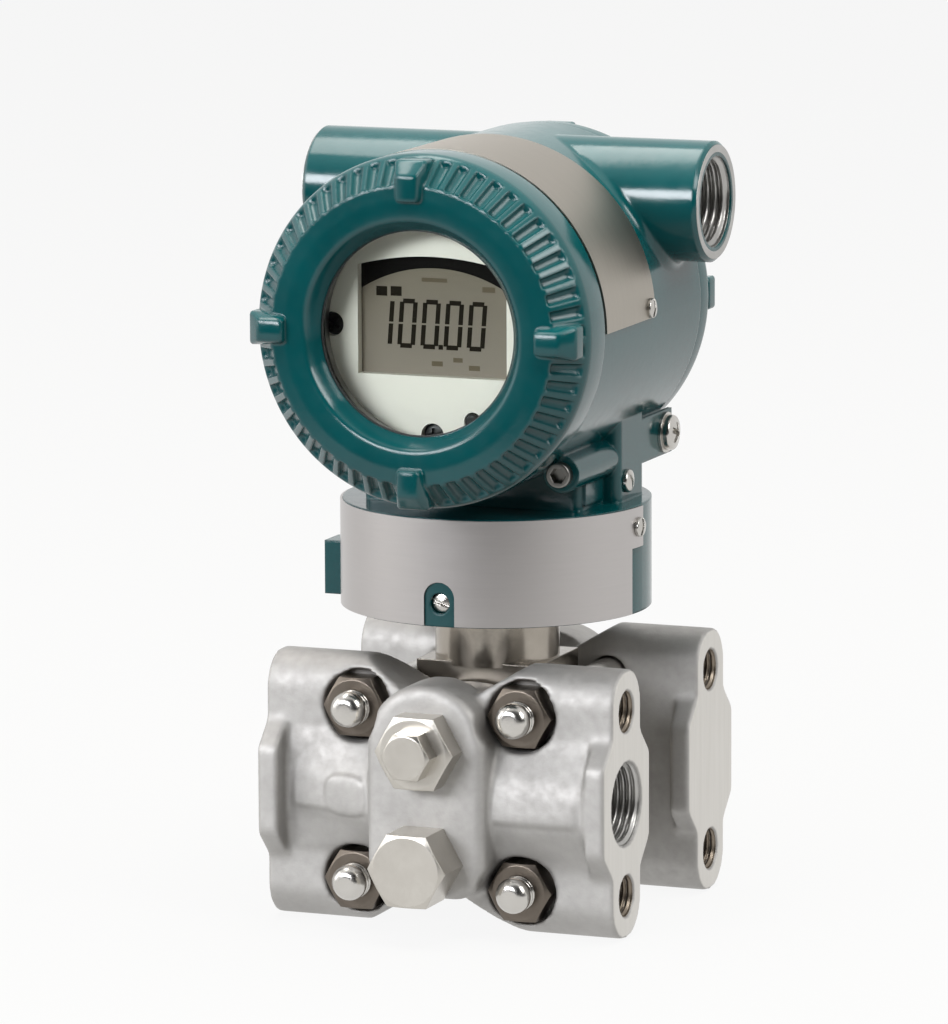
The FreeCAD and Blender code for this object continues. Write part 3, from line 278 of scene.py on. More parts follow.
studioValues = dict(
    backdrop="#fbfbfb", dome=0.22, roomSide=(0.42, -0.9, 0.0), roomEdge=(0.2, 0.66), roomLevel=0.02,
    floorFront=-0.5, floorSize=3.0, floorDrop=0.0002, floorGlow=0.9, floorLight=1.045, paper="#888886",
    lampAim=(0, 0, 0.09),
    lamps=[  # place in metres, size, watts, colour, and whether gloss mirrors it
        ("topBox", (-0.45, 0.13, 1.27), (1.1, 0.3), 6.0, "#fffaf6", True),
        ("frontBox", (-0.58, -1.4, 0.62), (1.0, 0.4), 25.0, "#f8faff", True),
        ("leftBox", (-1.25, -0.45, 0.45), (0.5, 0.8), 3.0, "#ffffff", True),
        ("rightBox", (1.05, -0.34, 0.85), (0.5, 0.7), 9.0, "#ffffff", True),
        ("ceilingSilk", (0.15, -0.05, 1.35), (1.2, 1.0), 38.0, "#fffdf2", False),
    ])


def makeStudio(values):
    scene = bpy.context.scene
    scene.view_settings.view_transform = "Standard"
    world = bpy.data.worlds.new("studio")
    scene.world = world
    world.use_nodes = True
    tree = world.node_tree
    tree.nodes.clear()
    # the camera sees a white backdrop, gloss mirrors it with the dark room, and the dome lights all else
    path = addNode(tree, "ShaderNodeLightPath").outputs
    direction = addNode(tree, "ShaderNodeTexCoord").outputs["Generated"]
    towards = addNode(tree, "ShaderNodeVectorMath", {0: direction, 1: values["roomSide"]},
                      operation="DOT_PRODUCT")
    start, full = values["roomEdge"]
    room = addNode(tree, "ShaderNodeMapRange", {
        "Value": towards.outputs["Value"], "From Min": start, "From Max": full, "To Min": 1.0,
        "To Max": values["roomLevel"]}, interpolation_type="SMOOTHSTEP")
    backdrop = linear(values["backdrop"])
    white = addNode(tree, "ShaderNodeBackground", {"Color": backdrop, "Strength": 1.0})
    glossed = addNode(tree, "ShaderNodeBackground", {"Color": backdrop, "Strength": room.outputs["Result"]})
    dome = addNode(tree, "ShaderNodeBackground", {"Color": linear("#ffffff"), "Strength": values["dome"]})
    seen = addNode(tree, "ShaderNodeMath", {0: path["Is Camera Ray"], 1: path["Is Transmission Ray"]},
                   operation="MAXIMUM")
    mixed = addNode(tree, "ShaderNodeMixShader", {0: path["Is Glossy Ray"], 1: dome.outputs[0],
                                                  2: glossed.outputs[0]})
    mixed = addNode(tree, "ShaderNodeMixShader", {0: seen.outputs[0], 1: mixed.outputs[0],
                                                  2: white.outputs[0]})
    addNode(tree, "ShaderNodeOutputWorld", {"Surface": mixed.outputs[0]})

    for name, spot, size, watts, colour, mirrored in values["lamps"]:
        data = bpy.data.lights.new(name, "AREA")
        data.shape, data.size, data.size_y, data.energy = "RECTANGLE", size[0], size[1], watts
        data.color = linear(colour)[:3]
        lamp = bpy.data.objects.new(name, data)
        away = np.array(spot) - np.array(values["lampAim"])
        away = away / np.linalg.norm(away)
        across = np.cross([0, 0, 1], away)
        across = across / np.linalg.norm(across)
        lamp.matrix_world = standing(across, np.cross(away, across), away, spot)
        lamp.visible_camera = False
        lamp.visible_glossy = mirrored
        scene.collection.objects.link(lamp)

    half, near, far = values["floorSize"], values["floorFront"], values["floorSize"] * 2
    mesh = bpy.data.meshes.new("floor")
    mesh.from_pydata([(-half, near, 0), (half, near, 0), (half, far, 0), (-half, far, 0)], [], [(0, 1, 2, 3)])
    floor = bpy.data.objects.new("floor", mesh)
    floor.location.z = -values["floorDrop"]
    scene.collection.objects.link(floor)
    # seamless studio paper: matt white that keeps a faint shadow
    material, tree = newMaterial("whitePaperSweep")
    path = addNode(tree, "ShaderNodeLightPath").outputs
    seen = addNode(tree, "ShaderNodeMath", {0: path["Is Camera Ray"], 1: path["Is Glossy Ray"]},
                   operation="MAXIMUM")
    glow = addNode(tree, "ShaderNodeMath", {0: seen.outputs[0], 1: values["floorGlow"]}, operation="MULTIPLY")
    paper = addNode(tree, "ShaderNodeBsdfDiffuse", {"Color": linear(values["paper"])})
    lit = addNode(tree, "ShaderNodeEmission", {"Color": backdrop, "Strength": values["floorLight"]})
    mixed = addNode(tree, "ShaderNodeMixShader", {0: glow.outputs[0], 1: paper.outputs[0], 2: lit.outputs[0]})
    addNode(tree, "ShaderNodeOutputMaterial", {"Surface": mixed.outputs[0]})
    mesh.materials.append(material)


makeStudio(studioValues)
print("camera and studio made")


# Materials

def bakedPaint():
    # stoved polyester paint on die-cast aluminium: deep teal, glossy, with a faint orange peel
    material, tree = newMaterial("bakedTealPaint")
    point = addNode(tree, "ShaderNodeTexCoord").outputs["Object"]
    cloud = addNode(tree, "ShaderNodeTexNoise", {"Vector": point, "Scale": perMetre(14.0), "Detail": 3.0})
    colour = addNode(tree, "ShaderNodeMix", {
        0: cloud.outputs["Fac"], 6: linear("#033639"), 7: linear("#044346")}, data_type="RGBA")
    haze = addNode(tree, "ShaderNodeTexNoise", {"Vector": point, "Scale": perMetre(3.0), "Detail": 2.0})
    gloss = addNode(tree, "ShaderNodeMapRange", {
        "Value": haze.outputs["Fac"], "From Min": 0.3, "From Max": 0.7, "To Min": 0.12, "To Max": 0.18})
    soft = addNode(tree, "ShaderNodeBevel", {"Radius": 0.8 * mm}, samples=4)
    peel = addNode(tree, "ShaderNodeTexNoise", {"Vector": point, "Scale": perMetre(1.3), "Detail": 1.0})
    bump = addNode(tree, "ShaderNodeBump", {
        "Height": peel.outputs["Fac"], "Strength": 0.05, "Distance": 0.2 * mm, "Normal": soft.outputs[0]})
    shader = addNode(tree, "ShaderNodeBsdfPrincipled", {
        "Base Color": colour.outputs[2], "Roughness": gloss.outputs["Result"], "IOR": 1.5,
        "Normal": bump.outputs[0]})
    addNode(tree, "ShaderNodeOutputMaterial", {"Surface": shader.outputs[0]})
    return material


def castSteel():
    # investment-cast stainless steel, bead blasted: pale, matt, with a fine pitted grain and dull patches,
    # and smooth bright metal on the two ends, which are milled flat for the process pipes
    material, tree = newMaterial("beadBlastedCastStainless")
    point = addNode(tree, "ShaderNodeTexCoord").outputs["Object"]
    patches = addNode(tree, "ShaderNodeTexNoise", {"Vector": point, "Scale": perMetre(9.0), "Detail": 5.0})
    colour = addNode(tree, "ShaderNodeMix", {
        0: patches.outputs["Fac"], 6: linear("#a3a19e"), 7: linear("#b9b7b4")}, data_type="RGBA")
    across = addNode(tree, "ShaderNodeSeparateXYZ", {0: point}).outputs["X"]
    reach = addNode(tree, "ShaderNodeMath", {0: across}, operation="ABSOLUTE")
    end = cadBox("front_flange")[1][0]
    start, full = (end - 0.3) * mm, (end - 0.12) * mm  # just inside the end faces
    milled = addNode(tree, "ShaderNodeMapRange", {
        "Value": reach.outputs[0], "From Min": start, "From Max": full}).outputs["Result"]
    along = addNode(tree, "ShaderNodeMapping", {"Vector": point, "Scale": (1.0, 1.0, 0.06)})
    strokes = addNode(tree, "ShaderNodeTexNoise", {
        "Vector": along.outputs[0], "Scale": perMetre(1.2), "Detail": 3.0})
    bright = addNode(tree, "ShaderNodeMix", {
        0: strokes.outputs["Fac"], 6: linear("#cbc8c2"), 7: linear("#d9d6d1")}, data_type="RGBA")
    colour = addNode(tree, "ShaderNodeMix", {
        0: milled, 6: colour.outputs[2], 7: bright.outputs[2]}, data_type="RGBA")
    dull = addNode(tree, "ShaderNodeTexNoise", {"Vector": point, "Scale": perMetre(2.2), "Detail": 3.0})
    rough = addNode(tree, "ShaderNodeMapRange", {
        "Value": dull.outputs["Fac"], "From Min": 0.3, "From Max": 0.7, "To Min": 0.6, "To Max": 0.72})
    rough = addNode(tree, "ShaderNodeMapRange", {
        "Value": milled, "To Min": rough.outputs["Result"], "To Max": 0.44})
    height = addNode(tree, "ShaderNodeMapRange", {"Value": milled, "To Min": 0.22, "To Max": 0.04})
    pits = addNode(tree, "ShaderNodeTexNoise", {"Vector": point, "Scale": perMetre(0.6), "Detail": 2.0,
                                                "Roughness": 0.65})
    soft = addNode(tree, "ShaderNodeBevel", {"Radius": 0.4 * mm}, samples=4)
    bump = addNode(tree, "ShaderNodeBump", {
        "Height": pits.outputs["Fac"], "Strength": height.outputs["Result"], "Distance": 0.15 * mm,
        "Normal": soft.outputs[0]})
    shader = addNode(tree, "ShaderNodeBsdfPrincipled", {
        "Base Color": colour.outputs[2], "Metallic": 1.0, "Roughness": rough.outputs["Result"],
        "Normal": bump.outputs[0]})
    addNode(tree, "ShaderNodeOutputMaterial", {"Surface": shader.outputs[0]})
    return material


def turnedSteel(name, pale, dark, roughness, strength=0.03):
    # turned stainless steel or plated screws: bright and smooth, with faint tool marks coarse enough to show
    material, tree = newMaterial(name)
    point = addNode(tree, "ShaderNodeTexCoord").outputs["Object"]
    stain = addNode(tree, "ShaderNodeTexNoise", {"Vector": point, "Scale": perMetre(6.0), "Detail": 3.0})
    colour = addNode(tree, "ShaderNodeMix", {0: stain.outputs["Fac"], 6: linear(dark), 7: linear(pale)},
                     data_type="RGBA")
    marks = addNode(tree, "ShaderNodeTexNoise", {"Vector": point, "Scale": perMetre(0.7), "Detail": 2.0})
    rough = addNode(tree, "ShaderNodeMapRange", {
        "Value": marks.outputs["Fac"], "From Min": 0.25, "From Max": 0.75, "To Min": roughness - 0.03,
        "To Max": roughness + 0.05})
    soft = addNode(tree, "ShaderNodeBevel", {"Radius": 0.3 * mm}, samples=4)
    bump = addNode(tree, "ShaderNodeBump", {"Height": marks.outputs["Fac"], "Strength": strength,
                                            "Distance": 0.1 * mm, "Normal": soft.outputs[0]})
    shader = addNode(tree, "ShaderNodeBsdfPrincipled", {
        "Base Color": colour.outputs[2], "Metallic": 1.0, "Roughness": rough.outputs["Result"],
        "Normal": bump.outputs[0]})
    addNode(tree, "ShaderNodeOutputMaterial", {"Surface": shader.outputs[0]})
    return material


def satinSheet(name, pale, dark, roughness, lines):
    # satin-rolled stainless sheet: smooth, with faint long grain lines one way that smear reflections
    material, tree = newMaterial(name)
    point = addNode(tree, "ShaderNodeTexCoord").outputs["Object"]
    along = addNode(tree, "ShaderNodeMapping", {"Vector": point, "Scale": lines})
    grain = addNode(tree, "ShaderNodeTexNoise", {
        "Vector": along.outputs[0], "Scale": perMetre(0.5), "Detail": 3.0})
    colour = addNode(tree, "ShaderNodeMix", {0: grain.outputs["Fac"], 6: linear(dark), 7: linear(pale)},
                     data_type="RGBA")
    rough = addNode(tree, "ShaderNodeMapRange", {
        "Value": grain.outputs["Fac"], "From Min": 0.25, "From Max": 0.75, "To Min": roughness - 0.01,
        "To Max": roughness + 0.02})
    bump = addNode(tree, "ShaderNodeBump", {
        "Height": grain.outputs["Fac"], "Strength": 0.01, "Distance": 0.05 * mm})
    shader = addNode(tree, "ShaderNodeBsdfPrincipled", {
        "Base Color": colour.outputs[2], "Metallic": 1.0, "Roughness": rough.outputs["Result"],
        "Normal": bump.outputs[0]})
    addNode(tree, "ShaderNodeOutputMaterial", {"Surface": shader.outputs[0]})
    return material


def moulded(name, pale, dark, roughness, texture=0.6, strength=0.06, specular=0.5):
    # injection-moulded plastic or moulded rubber: one colour with a fine spark-eroded texture
    material, tree = newMaterial(name)
    point = addNode(tree, "ShaderNodeTexCoord").outputs["Object"]
    flow = addNode(tree, "ShaderNodeTexNoise", {"Vector": point, "Scale": perMetre(7.0), "Detail": 3.0})
    colour = addNode(tree, "ShaderNodeMix", {0: flow.outputs["Fac"], 6: linear(dark), 7: linear(pale)},
                     data_type="RGBA")
    spark = addNode(tree, "ShaderNodeTexNoise", {"Vector": point, "Scale": perMetre(texture), "Detail": 2.0})
    rough = addNode(tree, "ShaderNodeMapRange", {
        "Value": spark.outputs["Fac"], "From Min": 0.3, "From Max": 0.7, "To Min": roughness - 0.05,
        "To Max": roughness + 0.05})
    bump = addNode(tree, "ShaderNodeBump", {"Height": spark.outputs["Fac"], "Strength": strength,
                                            "Distance": 0.1 * mm})
    shader = addNode(tree, "ShaderNodeBsdfPrincipled", {
        "Base Color": colour.outputs[2], "Roughness": rough.outputs["Result"], "Normal": bump.outputs[0],
        "Specular IOR Level": specular})
    addNode(tree, "ShaderNodeOutputMaterial", {"Surface": shader.outputs[0]})
    return material


def clearGlass():
    # toughened float glass: clear, mirroring a little of the room at its faces, more at a glancing angle
    material, tree = newMaterial("toughenedWindowGlass")
    point = addNode(tree, "ShaderNodeTexCoord").outputs["Object"]
    ripple = addNode(tree, "ShaderNodeTexNoise", {"Vector": point, "Scale": perMetre(20.0), "Detail": 1.0})
    polish = addNode(tree, "ShaderNodeMapRange", {
        "Value": ripple.outputs["Fac"], "To Min": 0.0, "To Max": 0.02})
    edge = addNode(tree, "ShaderNodeFresnel", {"IOR": 1.45})
    clear = addNode(tree, "ShaderNodeBsdfTransparent", {"Color": linear("#fcfefd")})
    mirror = addNode(tree, "ShaderNodeBsdfGlossy", {
        "Color": linear("#ffffff"), "Roughness": polish.outputs["Result"]})
    mixed = addNode(tree, "ShaderNodeMixShader", {
        0: edge.outputs[0], 1: clear.outputs[0], 2: mirror.outputs[0]})
    addNode(tree, "ShaderNodeOutputMaterial", {"Surface": mixed.outputs[0]})
    return material


def displayCell():
    # reflective liquid crystal cell: grey-brown with painted shade, darker towards its top and lighter low
    # down, behind a matt polariser
    material, tree = newMaterial("reflectiveDisplayCell")
    point = addNode(tree, "ShaderNodeTexCoord").outputs["Object"]
    height = addNode(tree, "ShaderNodeSeparateXYZ", {0: point}).outputs["Z"]
    low, high = cadBox("lcd_panel")
    fade = addNode(tree, "ShaderNodeMapRange", {
        "Value": height, "From Min": low[2] * mm, "From Max": high[2] * mm})
    # painted shade: the colour runs from lighter at the cell's foot to darker at its top, where shade falls
    # inside the window
    colour = addNode(tree, "ShaderNodeMix", {
        0: fade.outputs["Result"], 6: linear("#877d70"), 7: linear("#6f6552")}, data_type="RGBA")
    matt = addNode(tree, "ShaderNodeTexNoise", {"Vector": point, "Scale": perMetre(1.5), "Detail": 2.0})
    rough = addNode(tree, "ShaderNodeMapRange", {
        "Value": matt.outputs["Fac"], "To Min": 0.38, "To Max": 0.52})
    shader = addNode(tree, "ShaderNodeBsdfPrincipled", {
        "Base Color": colour.outputs[2], "Roughness": rough.outputs["Result"]})
    addNode(tree, "ShaderNodeOutputMaterial", {"Surface": shader.outputs[0]})
    return material


paint = bakedPaint()
cast = castSteel()
neckSteel = turnedSteel("polishedNeckStainless", "#aca59b", "#968f85", 0.2)
plugSteel = turnedSteel("turnedPlugStainless", "#cbc7bf", "#b8b3ab", 0.31, 0.012)
boltSteel = turnedSteel("brightBoltSteel", "#cfccc7", "#bebbb5", 0.21, 0.015)
nutSteel = turnedSteel("darkNutSteel", "#7b736a", "#5d554d", 0.32)
screwSteel = turnedSteel("nickelPlatedScrew", "#c9c6c1", "#b5b2ac", 0.21, 0.01)
lockSteel = turnedSteel("blackenedSocketScrew", "#8d8b87", "#74726e", 0.32)
threadMetal = turnedSteel("cutThreadMetal", "#bcbbb8", "#9c9a96", 0.32)
# the flanges' tapped threads are coloured darker and browner than the other cut threads
tappedMetal = turnedSteel("darkBrownTappedSteel", "#8f8578", "#74695d", 0.34)
dataSheet = satinSheet("satinDataPlate", "#b9b5b3", "#b4b0ae", 0.3, (0.05, 0.05, 1.0))
nameSheet = satinSheet("satinNamePlate", "#aca69c", "#9f998f", 0.42, (0.05, 1.0, 0.05))
bezelPlastic = moulded("offWhiteMouldedBezel", "#f8f3e8", "#f1ece0", 0.5)
blackPlastic = moulded("blackMouldedPlastic", "#1a1a19", "#0f0f0e", 0.42)
casePlastic = moulded("darkElectronicsCase", "#343536", "#26282a", 0.5)
rubber = moulded("blackNitrileRubber", "#1b1b1a", "#121211", 0.6, 0.4, 0.12)
ptfe = moulded("whiteTurnedPtfe", "#ecebe6", "#e0dfda", 0.45)
ringMetal = turnedSteel("turnedRingAluminium", "#b4b4b3", "#9b9b9a", 0.35)
glass = clearGlass()
lcd = displayCell()
inkDark = moulded("displaySegmentInk", "#201a10", "#17120a", 0.75, specular=0.1)
inkBand = moulded("displayBandInk", "#0b0906", "#070504", 0.75, specular=0.1)
inkFaint = moulded("displayFaintInk", "#6a604f", "#625847", 0.75, specular=0.1)

dress(paint, "amplifier_housing")
dress(neckSteel, "capsule_body", "front_diaphragm", "rear_diaphragm", "sensor_unit")
dress(plugSteel, "front_drain_plug", "rear_drain_plug", "front_vent_plug", "rear_vent_plug",
      "front_vent_screw", "rear_vent_screw")
dress(dataSheet, "data_plate")
dress(nameSheet, "name_plate")
dress(screwSteel, "ground_washer")
dress(rubber, "neck_o_ring", "display_cover_o_ring", "terminal_cover_o_ring", "window_gasket")
dress(ptfe, "front_flange_gasket", "rear_flange_gasket")
dress(glass, "window_glass")
dress(ringMetal, "glass_retaining_ring")
dress(bezelPlastic, "indicator_bezel")
dress(blackPlastic, "range_button", "terminal_block")
dress(casePlastic, "cpu_assembly", "indicator_base")
dress(lcd, "lcd_panel")
print("materials made")

# Screw covers: teeth cut round the sloping rim, and four lugs for a bar

coverValues = dict(
    teeth=56, samples=18, toothDepth=1.15, toothStep=0.4, pocketHalf=0.33, pocketFrom=(2.6, 3.5),
    pocketTo=(3.8, 2.6), ringInset=0.8, rimEdge=0.5, ringRound=1.3,
    lugs=4, lugTop=4.8, lugBase=7.4, lugInner=29.3, lugInset=0.7, lugRise=2.2, lugEdge=0.175, lugFoot=3.0,
    lugCorner=3.2, lugRound=1.6, lugFlare=3.5, heelIn=1.5, heelLow=0.5, heelTop=2.0, heelRound=0.6)
displayCoverValues = dict(
    bore=35.4, radius=39.0, band=9.8, shoulder=4.5, length=16.9, ring=33.0, crown=0.1, crownFall=0.15,
    crownRound=14, lip=25.2, lipRound=1.5, window=22.4, seat=12.4, seatEdge=0.3, pocket=26.9, collar=29.3,
    collarFoot=4.6, web=10.0)
terminalCoverValues = dict(
    bore=35.4, radius=38.1, band=6.2, shoulder=4.0, length=13.0, ring=32.1, lip=26.8, lipRound=0.9, dish=24.6,
    floor=11.9, web=7.6)


def toothedRim(profile, ring, closed, values):
    # a turned rim; its slope is pushed in along its normal by depth * half-round pocket(angle) * share(slope)
    run, radius = runAlong(profile), profile[:, 0]
    start = int(np.flatnonzero(radius > radius.max() - 0.001)[-1])  # where the shoulder begins
    end = start + int(np.argmax(radius[start:] < ring - values["ringInset"]))
    first, last = run[start], run[end]
    run, flat = resampled(profile, first, last, values["toothStep"])
    along = np.gradient(flat, run, axis=0)
    normal = np.stack([along[:, 1], -along[:, 0]], 1) / np.linalg.norm(along, axis=1)[:, None]
    opens, closes = first + np.array(values["pocketFrom"]), last - np.array(values["pocketTo"])
    share = smoothStep(*opens, run) * (1 - smoothStep(*closes, run))
    angle = around(values["teeth"] * values["samples"])
    pocket = ((values["teeth"] * angle / tau) % 1 - 0.5) / values["pocketHalf"]
    across = np.sqrt(np.clip(1 - pocket ** 2, 0, 1))
    push = values["toothDepth"] * across[:, None] * share
    return lathe(flat[:, 0] - push * normal[:, 0], flat[:, 1] - push * normal[:, 1], angle), True, closed


def coverLug(angle, length, band, radius, values):
    # a bar lug: its outline (radius, height) carried across its width, drawn in at both ends and wider below
    inner, outer, top = values["lugInner"], radius - values["lugInset"], length + values["lugRise"]
    corner, soft = values["lugCorner"], values["lugRound"]
    outline = softProfile([
        (inner, length - values["lugFoot"]), (outer - values["heelIn"], band + values["heelLow"]),
        (outer, band + values["heelTop"], values["heelRound"]), (outer, top - corner, soft),
        (outer - corner, top, soft), (inner, top, soft / 2)], steps=6)
    middle = outline.mean(0)
    spread = np.array([-1, -1, -0.93, -0.8, 0, 0.8, 0.93, 1, 1])
    inset = values["lugEdge"] * np.array([0, 1, 0.3, 0, 0, 0, 0.3, 1, 0])
    shape = middle + (outline - middle) * (1 - inset[:, None, None])
    shape[0], shape[-1] = middle, middle
    flare = np.clip((top - shape[..., 1]) / values["lugFlare"], 0, 1)
    side = spread[:, None] * (values["lugTop"] + (values["lugBase"] - values["lugTop"]) * flare) / 2
    cos, sin = math.cos(angle), math.sin(angle)
    turned = [shape[..., 0] * cos - side * sin, shape[..., 0] * sin + side * cos, shape[..., 1]]
    return np.stack(turned, -1), False, True


def makeCover(name, node, turn, corners, closed, v, values):
    low, high = cadBox(node)
    origin = (low + high) / 2
    origin[1] = low[1] if turn else high[1]  # the open end
    grids = [toothedRim(softProfile(corners), v["ring"], closed, values)]
    for angle in around(values["lugs"]):
        grids.append(coverLug(angle, v["length"], v["band"], v["radius"], values))
    makePiece(name, [placed(grid, origin, turn) for grid in grids], paint, node, [node])


def makeDisplayCover(v, values):
    face = v["length"] - v["crownFall"]
    makeCover("displayCoverCasting", "display_cover", 0, [
        (v["bore"], 0), (v["radius"], 0, values["rimEdge"]), (v["radius"], v["band"], v["shoulder"]),
        (v["ring"], face, values["ringRound"]),
        ((v["ring"] + v["lip"]) / 2, v["length"] + v["crown"], v["crownRound"]),
        (v["lip"], face, v["lipRound"]),
        (v["window"], v["seat"], v["seatEdge"]), (v["pocket"], v["seat"]), (v["pocket"], v["collarFoot"]),
        (v["collar"], v["collarFoot"]), (v["collar"], v["web"]), (v["bore"], v["web"])], True, v, values)


def makeTerminalCover(v, values):
    makeCover("terminalCoverCasting", "terminal_cover", 180, [
        (0, v["web"]), (v["bore"], v["web"]), (v["bore"], 0), (v["radius"], 0, values["rimEdge"]),
        (v["radius"], v["band"], v["shoulder"]), (v["ring"], v["length"], values["ringRound"]),
        (v["lip"], v["length"], v["lipRound"]), (v["dish"], v["floor"], v["lipRound"]), (0, v["floor"])],
        False, v, values)


makeDisplayCover(displayCoverValues, coverValues)
makeTerminalCover(terminalCoverValues, coverValues)
print("covers made")

# Process flanges: the solid's own form melted by a fine voxel skin, then a cast pad and a parting step

castingValues = dict(
    voxel=0.62, smoothing=6, melt=0.5, axis=30.0, frontFrom=33.0, frontFacing=(0.25, 0.6),
    padMiddle=(-20.0, 0.2), padHalf=(5.8, 4.6), padHeight=0.7, padPower=3, padEdge=(0.88, 1.06),
    seamHeight=-3.6, seamStep=0.6, seamHalf=0.3, seamHold=0.15, seamFade=9.0, seamFrom=(13.5, 15.5),
    seamTo=(33.0, 36.0))


def softCasting(name, node, turn, v):
    mesh = nodes[node].data.copy()
    weld(mesh, distance=1e-6)
    rough = bpy.data.objects.new(name + "Rough", mesh)
    bpy.context.scene.collection.objects.link(rough)
    skin = rough.modifiers.new("skin", "REMESH")
    skin.mode, skin.voxel_size = "VOXEL", v["voxel"] * mm
    melt = rough.modifiers.new("melt", "SMOOTH")
    melt.factor, melt.iterations = v["melt"], v["smoothing"]
    skinned = bpy.data.meshes.new_from_object(rough.evaluated_get(bpy.context.evaluated_depsgraph_get()))
    bpy.data.objects.remove(rough)

    points, normals = np.empty((2, len(skinned.vertices) * 3))
    skinned.vertices.foreach_get("co", points)
    skinned.vertices.foreach_get("normal", normals)
    points, normals = points.reshape(-1, 3) / mm, normals.reshape(-1, 3)
    x, y, out = facing(turn) @ (points - [0, 0, v["axis"]]).T
    # pad: a squared oval standing out by padHeight; parting step: full at the seam line, fading out above it
    oval = sum(np.abs((value - middle) / half) ** v["padPower"]
               for value, middle, half in zip((x, y), v["padMiddle"], v["padHalf"])) ** (1 / v["padPower"])
    pad = v["padHeight"] * (1 - smoothStep(*v["padEdge"], oval))
    above, aside = y - v["seamHeight"], np.abs(x)
    step = v["seamStep"] * smoothStep(-v["seamHalf"], v["seamHalf"], above)
    step = step * (1 - smoothStep(v["seamHold"], 1, above / v["seamFade"]))
    step = step * smoothStep(*v["seamFrom"], aside) * (1 - smoothStep(*v["seamTo"], aside))
    front = smoothStep(*v["frontFacing"], normals @ facing(turn)[2]) * (out > v["frontFrom"])
    points = points + normals * (np.maximum(pad, step) * front)[:, None]
    skinned.vertices.foreach_set("co", (points * mm).ravel())
    skinned.update()
    addPiece(name, skinned, cast, "capsule", [node], crease=180)


softCasting("frontFlangeCasting", "front_flange", 0, castingValues)
softCasting("rearFlangeCasting", "rear_flange", 180, castingValues)
print("flange castings made")

# Flange bolts with threaded, domed ends, and their nuts

boltValues = dict(across=13.0, face=6.1, headLow=31.0, shank=4.0, pitch=1.25, threadDepth=0.62, thread=26.0,
                  threadIn=2.0, threadOut=0.8, dome=2.6, domeSteps=10, samples=40, steps=12, nutBore=3.9)


def makeBolts(v):
    bolts, nuts = [], []
    angle = around(v["samples"])
    for low, high in solidBoxes("flange_bolts"):
        middle = (low + high) / 2
        origin = (middle[0], v["headLow"], middle[2])
        bolts.append(placed(hexHead(v["across"], high[1] - v["headLow"], v["face"]), origin, 180))
        # radius falls by the thread's depth times its wave over turns = height / pitch - angle / full circle
        shank, length = v["shank"], v["headLow"] - low[1]
        starts, ends = length - v["thread"], length - v["dome"]
        plain = softProfile([(0, 0), (shank, 0), (shank, length, v["dome"]), (0, length)], v["domeSteps"])
        radius, height = resampled(plain, shank + starts, shank + length, v["pitch"] / v["steps"])[1].T
        fade = smoothStep(starts, starts + v["threadIn"], height)
        fade = fade * (1 - smoothStep(ends - v["threadOut"], ends, height))
        wave = threadWave(height / v["pitch"] - angle[:, None] / tau)
        threaded = lathe(radius - v["threadDepth"] * fade * wave, height, angle)
        bolts.append(placed((threaded, True, False), origin, 0))
    for low, high in solidBoxes("flange_nuts"):
        middle = (low + high) / 2
        nut = hexHead(v["across"], high[1] - low[1], v["face"], v["nutBore"])
        nuts.append(placed(nut, (middle[0], high[1], middle[2]), 0))
    makePiece("flangeBolts", bolts, boltSteel, "capsule", ["flange_bolts"], crease=32)
    makePiece("flangeNuts", nuts, nutSteel, "capsule", ["flange_nuts"], crease=25)


makeBolts(boltValues)
print("bolts and nuts made")

# Screws: turned heads with a slot, a cross or a hexagon socket

screwValues = dict(  # a slot or a cross is turned by turn, in radians, and reaches this far from the middle
    plate=dict(radius=2.2, height=1.2, dome=0.45, edge=0.3, shank=1.2, length=3.5,
               recess="slot", width=0.7, reach=9, depth=0.7, turn=0.9),
    lock=dict(radius=2.8, height=2.6, dome=0.0, edge=0.35, shank=1.9, length=7.6,
              recess="hex", width=3.0, depth=1.8, turn=0),
    swivel=dict(radius=2.2, height=1.4, dome=0.5, edge=0.4, shank=2.15, length=4.3,
                recess="slot", width=0.8, reach=9, depth=0.9, turn=0.3),
    ground=dict(radius=4.0, height=2.6, dome=1.0, edge=0.7, shank=2.4, length=4.0,
                recess="cross", width=1.1, reach=2.3, depth=1.6, turn=0.4),
    zero=dict(radius=2.6, height=1.6, dome=0.7, edge=0.5, shank=2.0, length=8.0,
              recess="slot", width=0.8, reach=9, depth=0.8, turn=1.1),
    dial=dict(radius=2.3, height=1.3, dome=0.4, edge=0.3, shank=1.2, length=5.0,
              recess="cross", width=0.7, reach=1.5, depth=0.8, turn=0.5),
    terminal=dict(radius=3.4, height=2.0, dome=0.3, edge=0.5, shank=1.9, length=6.0,
                  recess="slot", width=1.0, reach=9, depth=1.3, turn=0.2))
screwMesh = dict(samples=96, steps=26, soft=0.08, nextTurn=0.9)


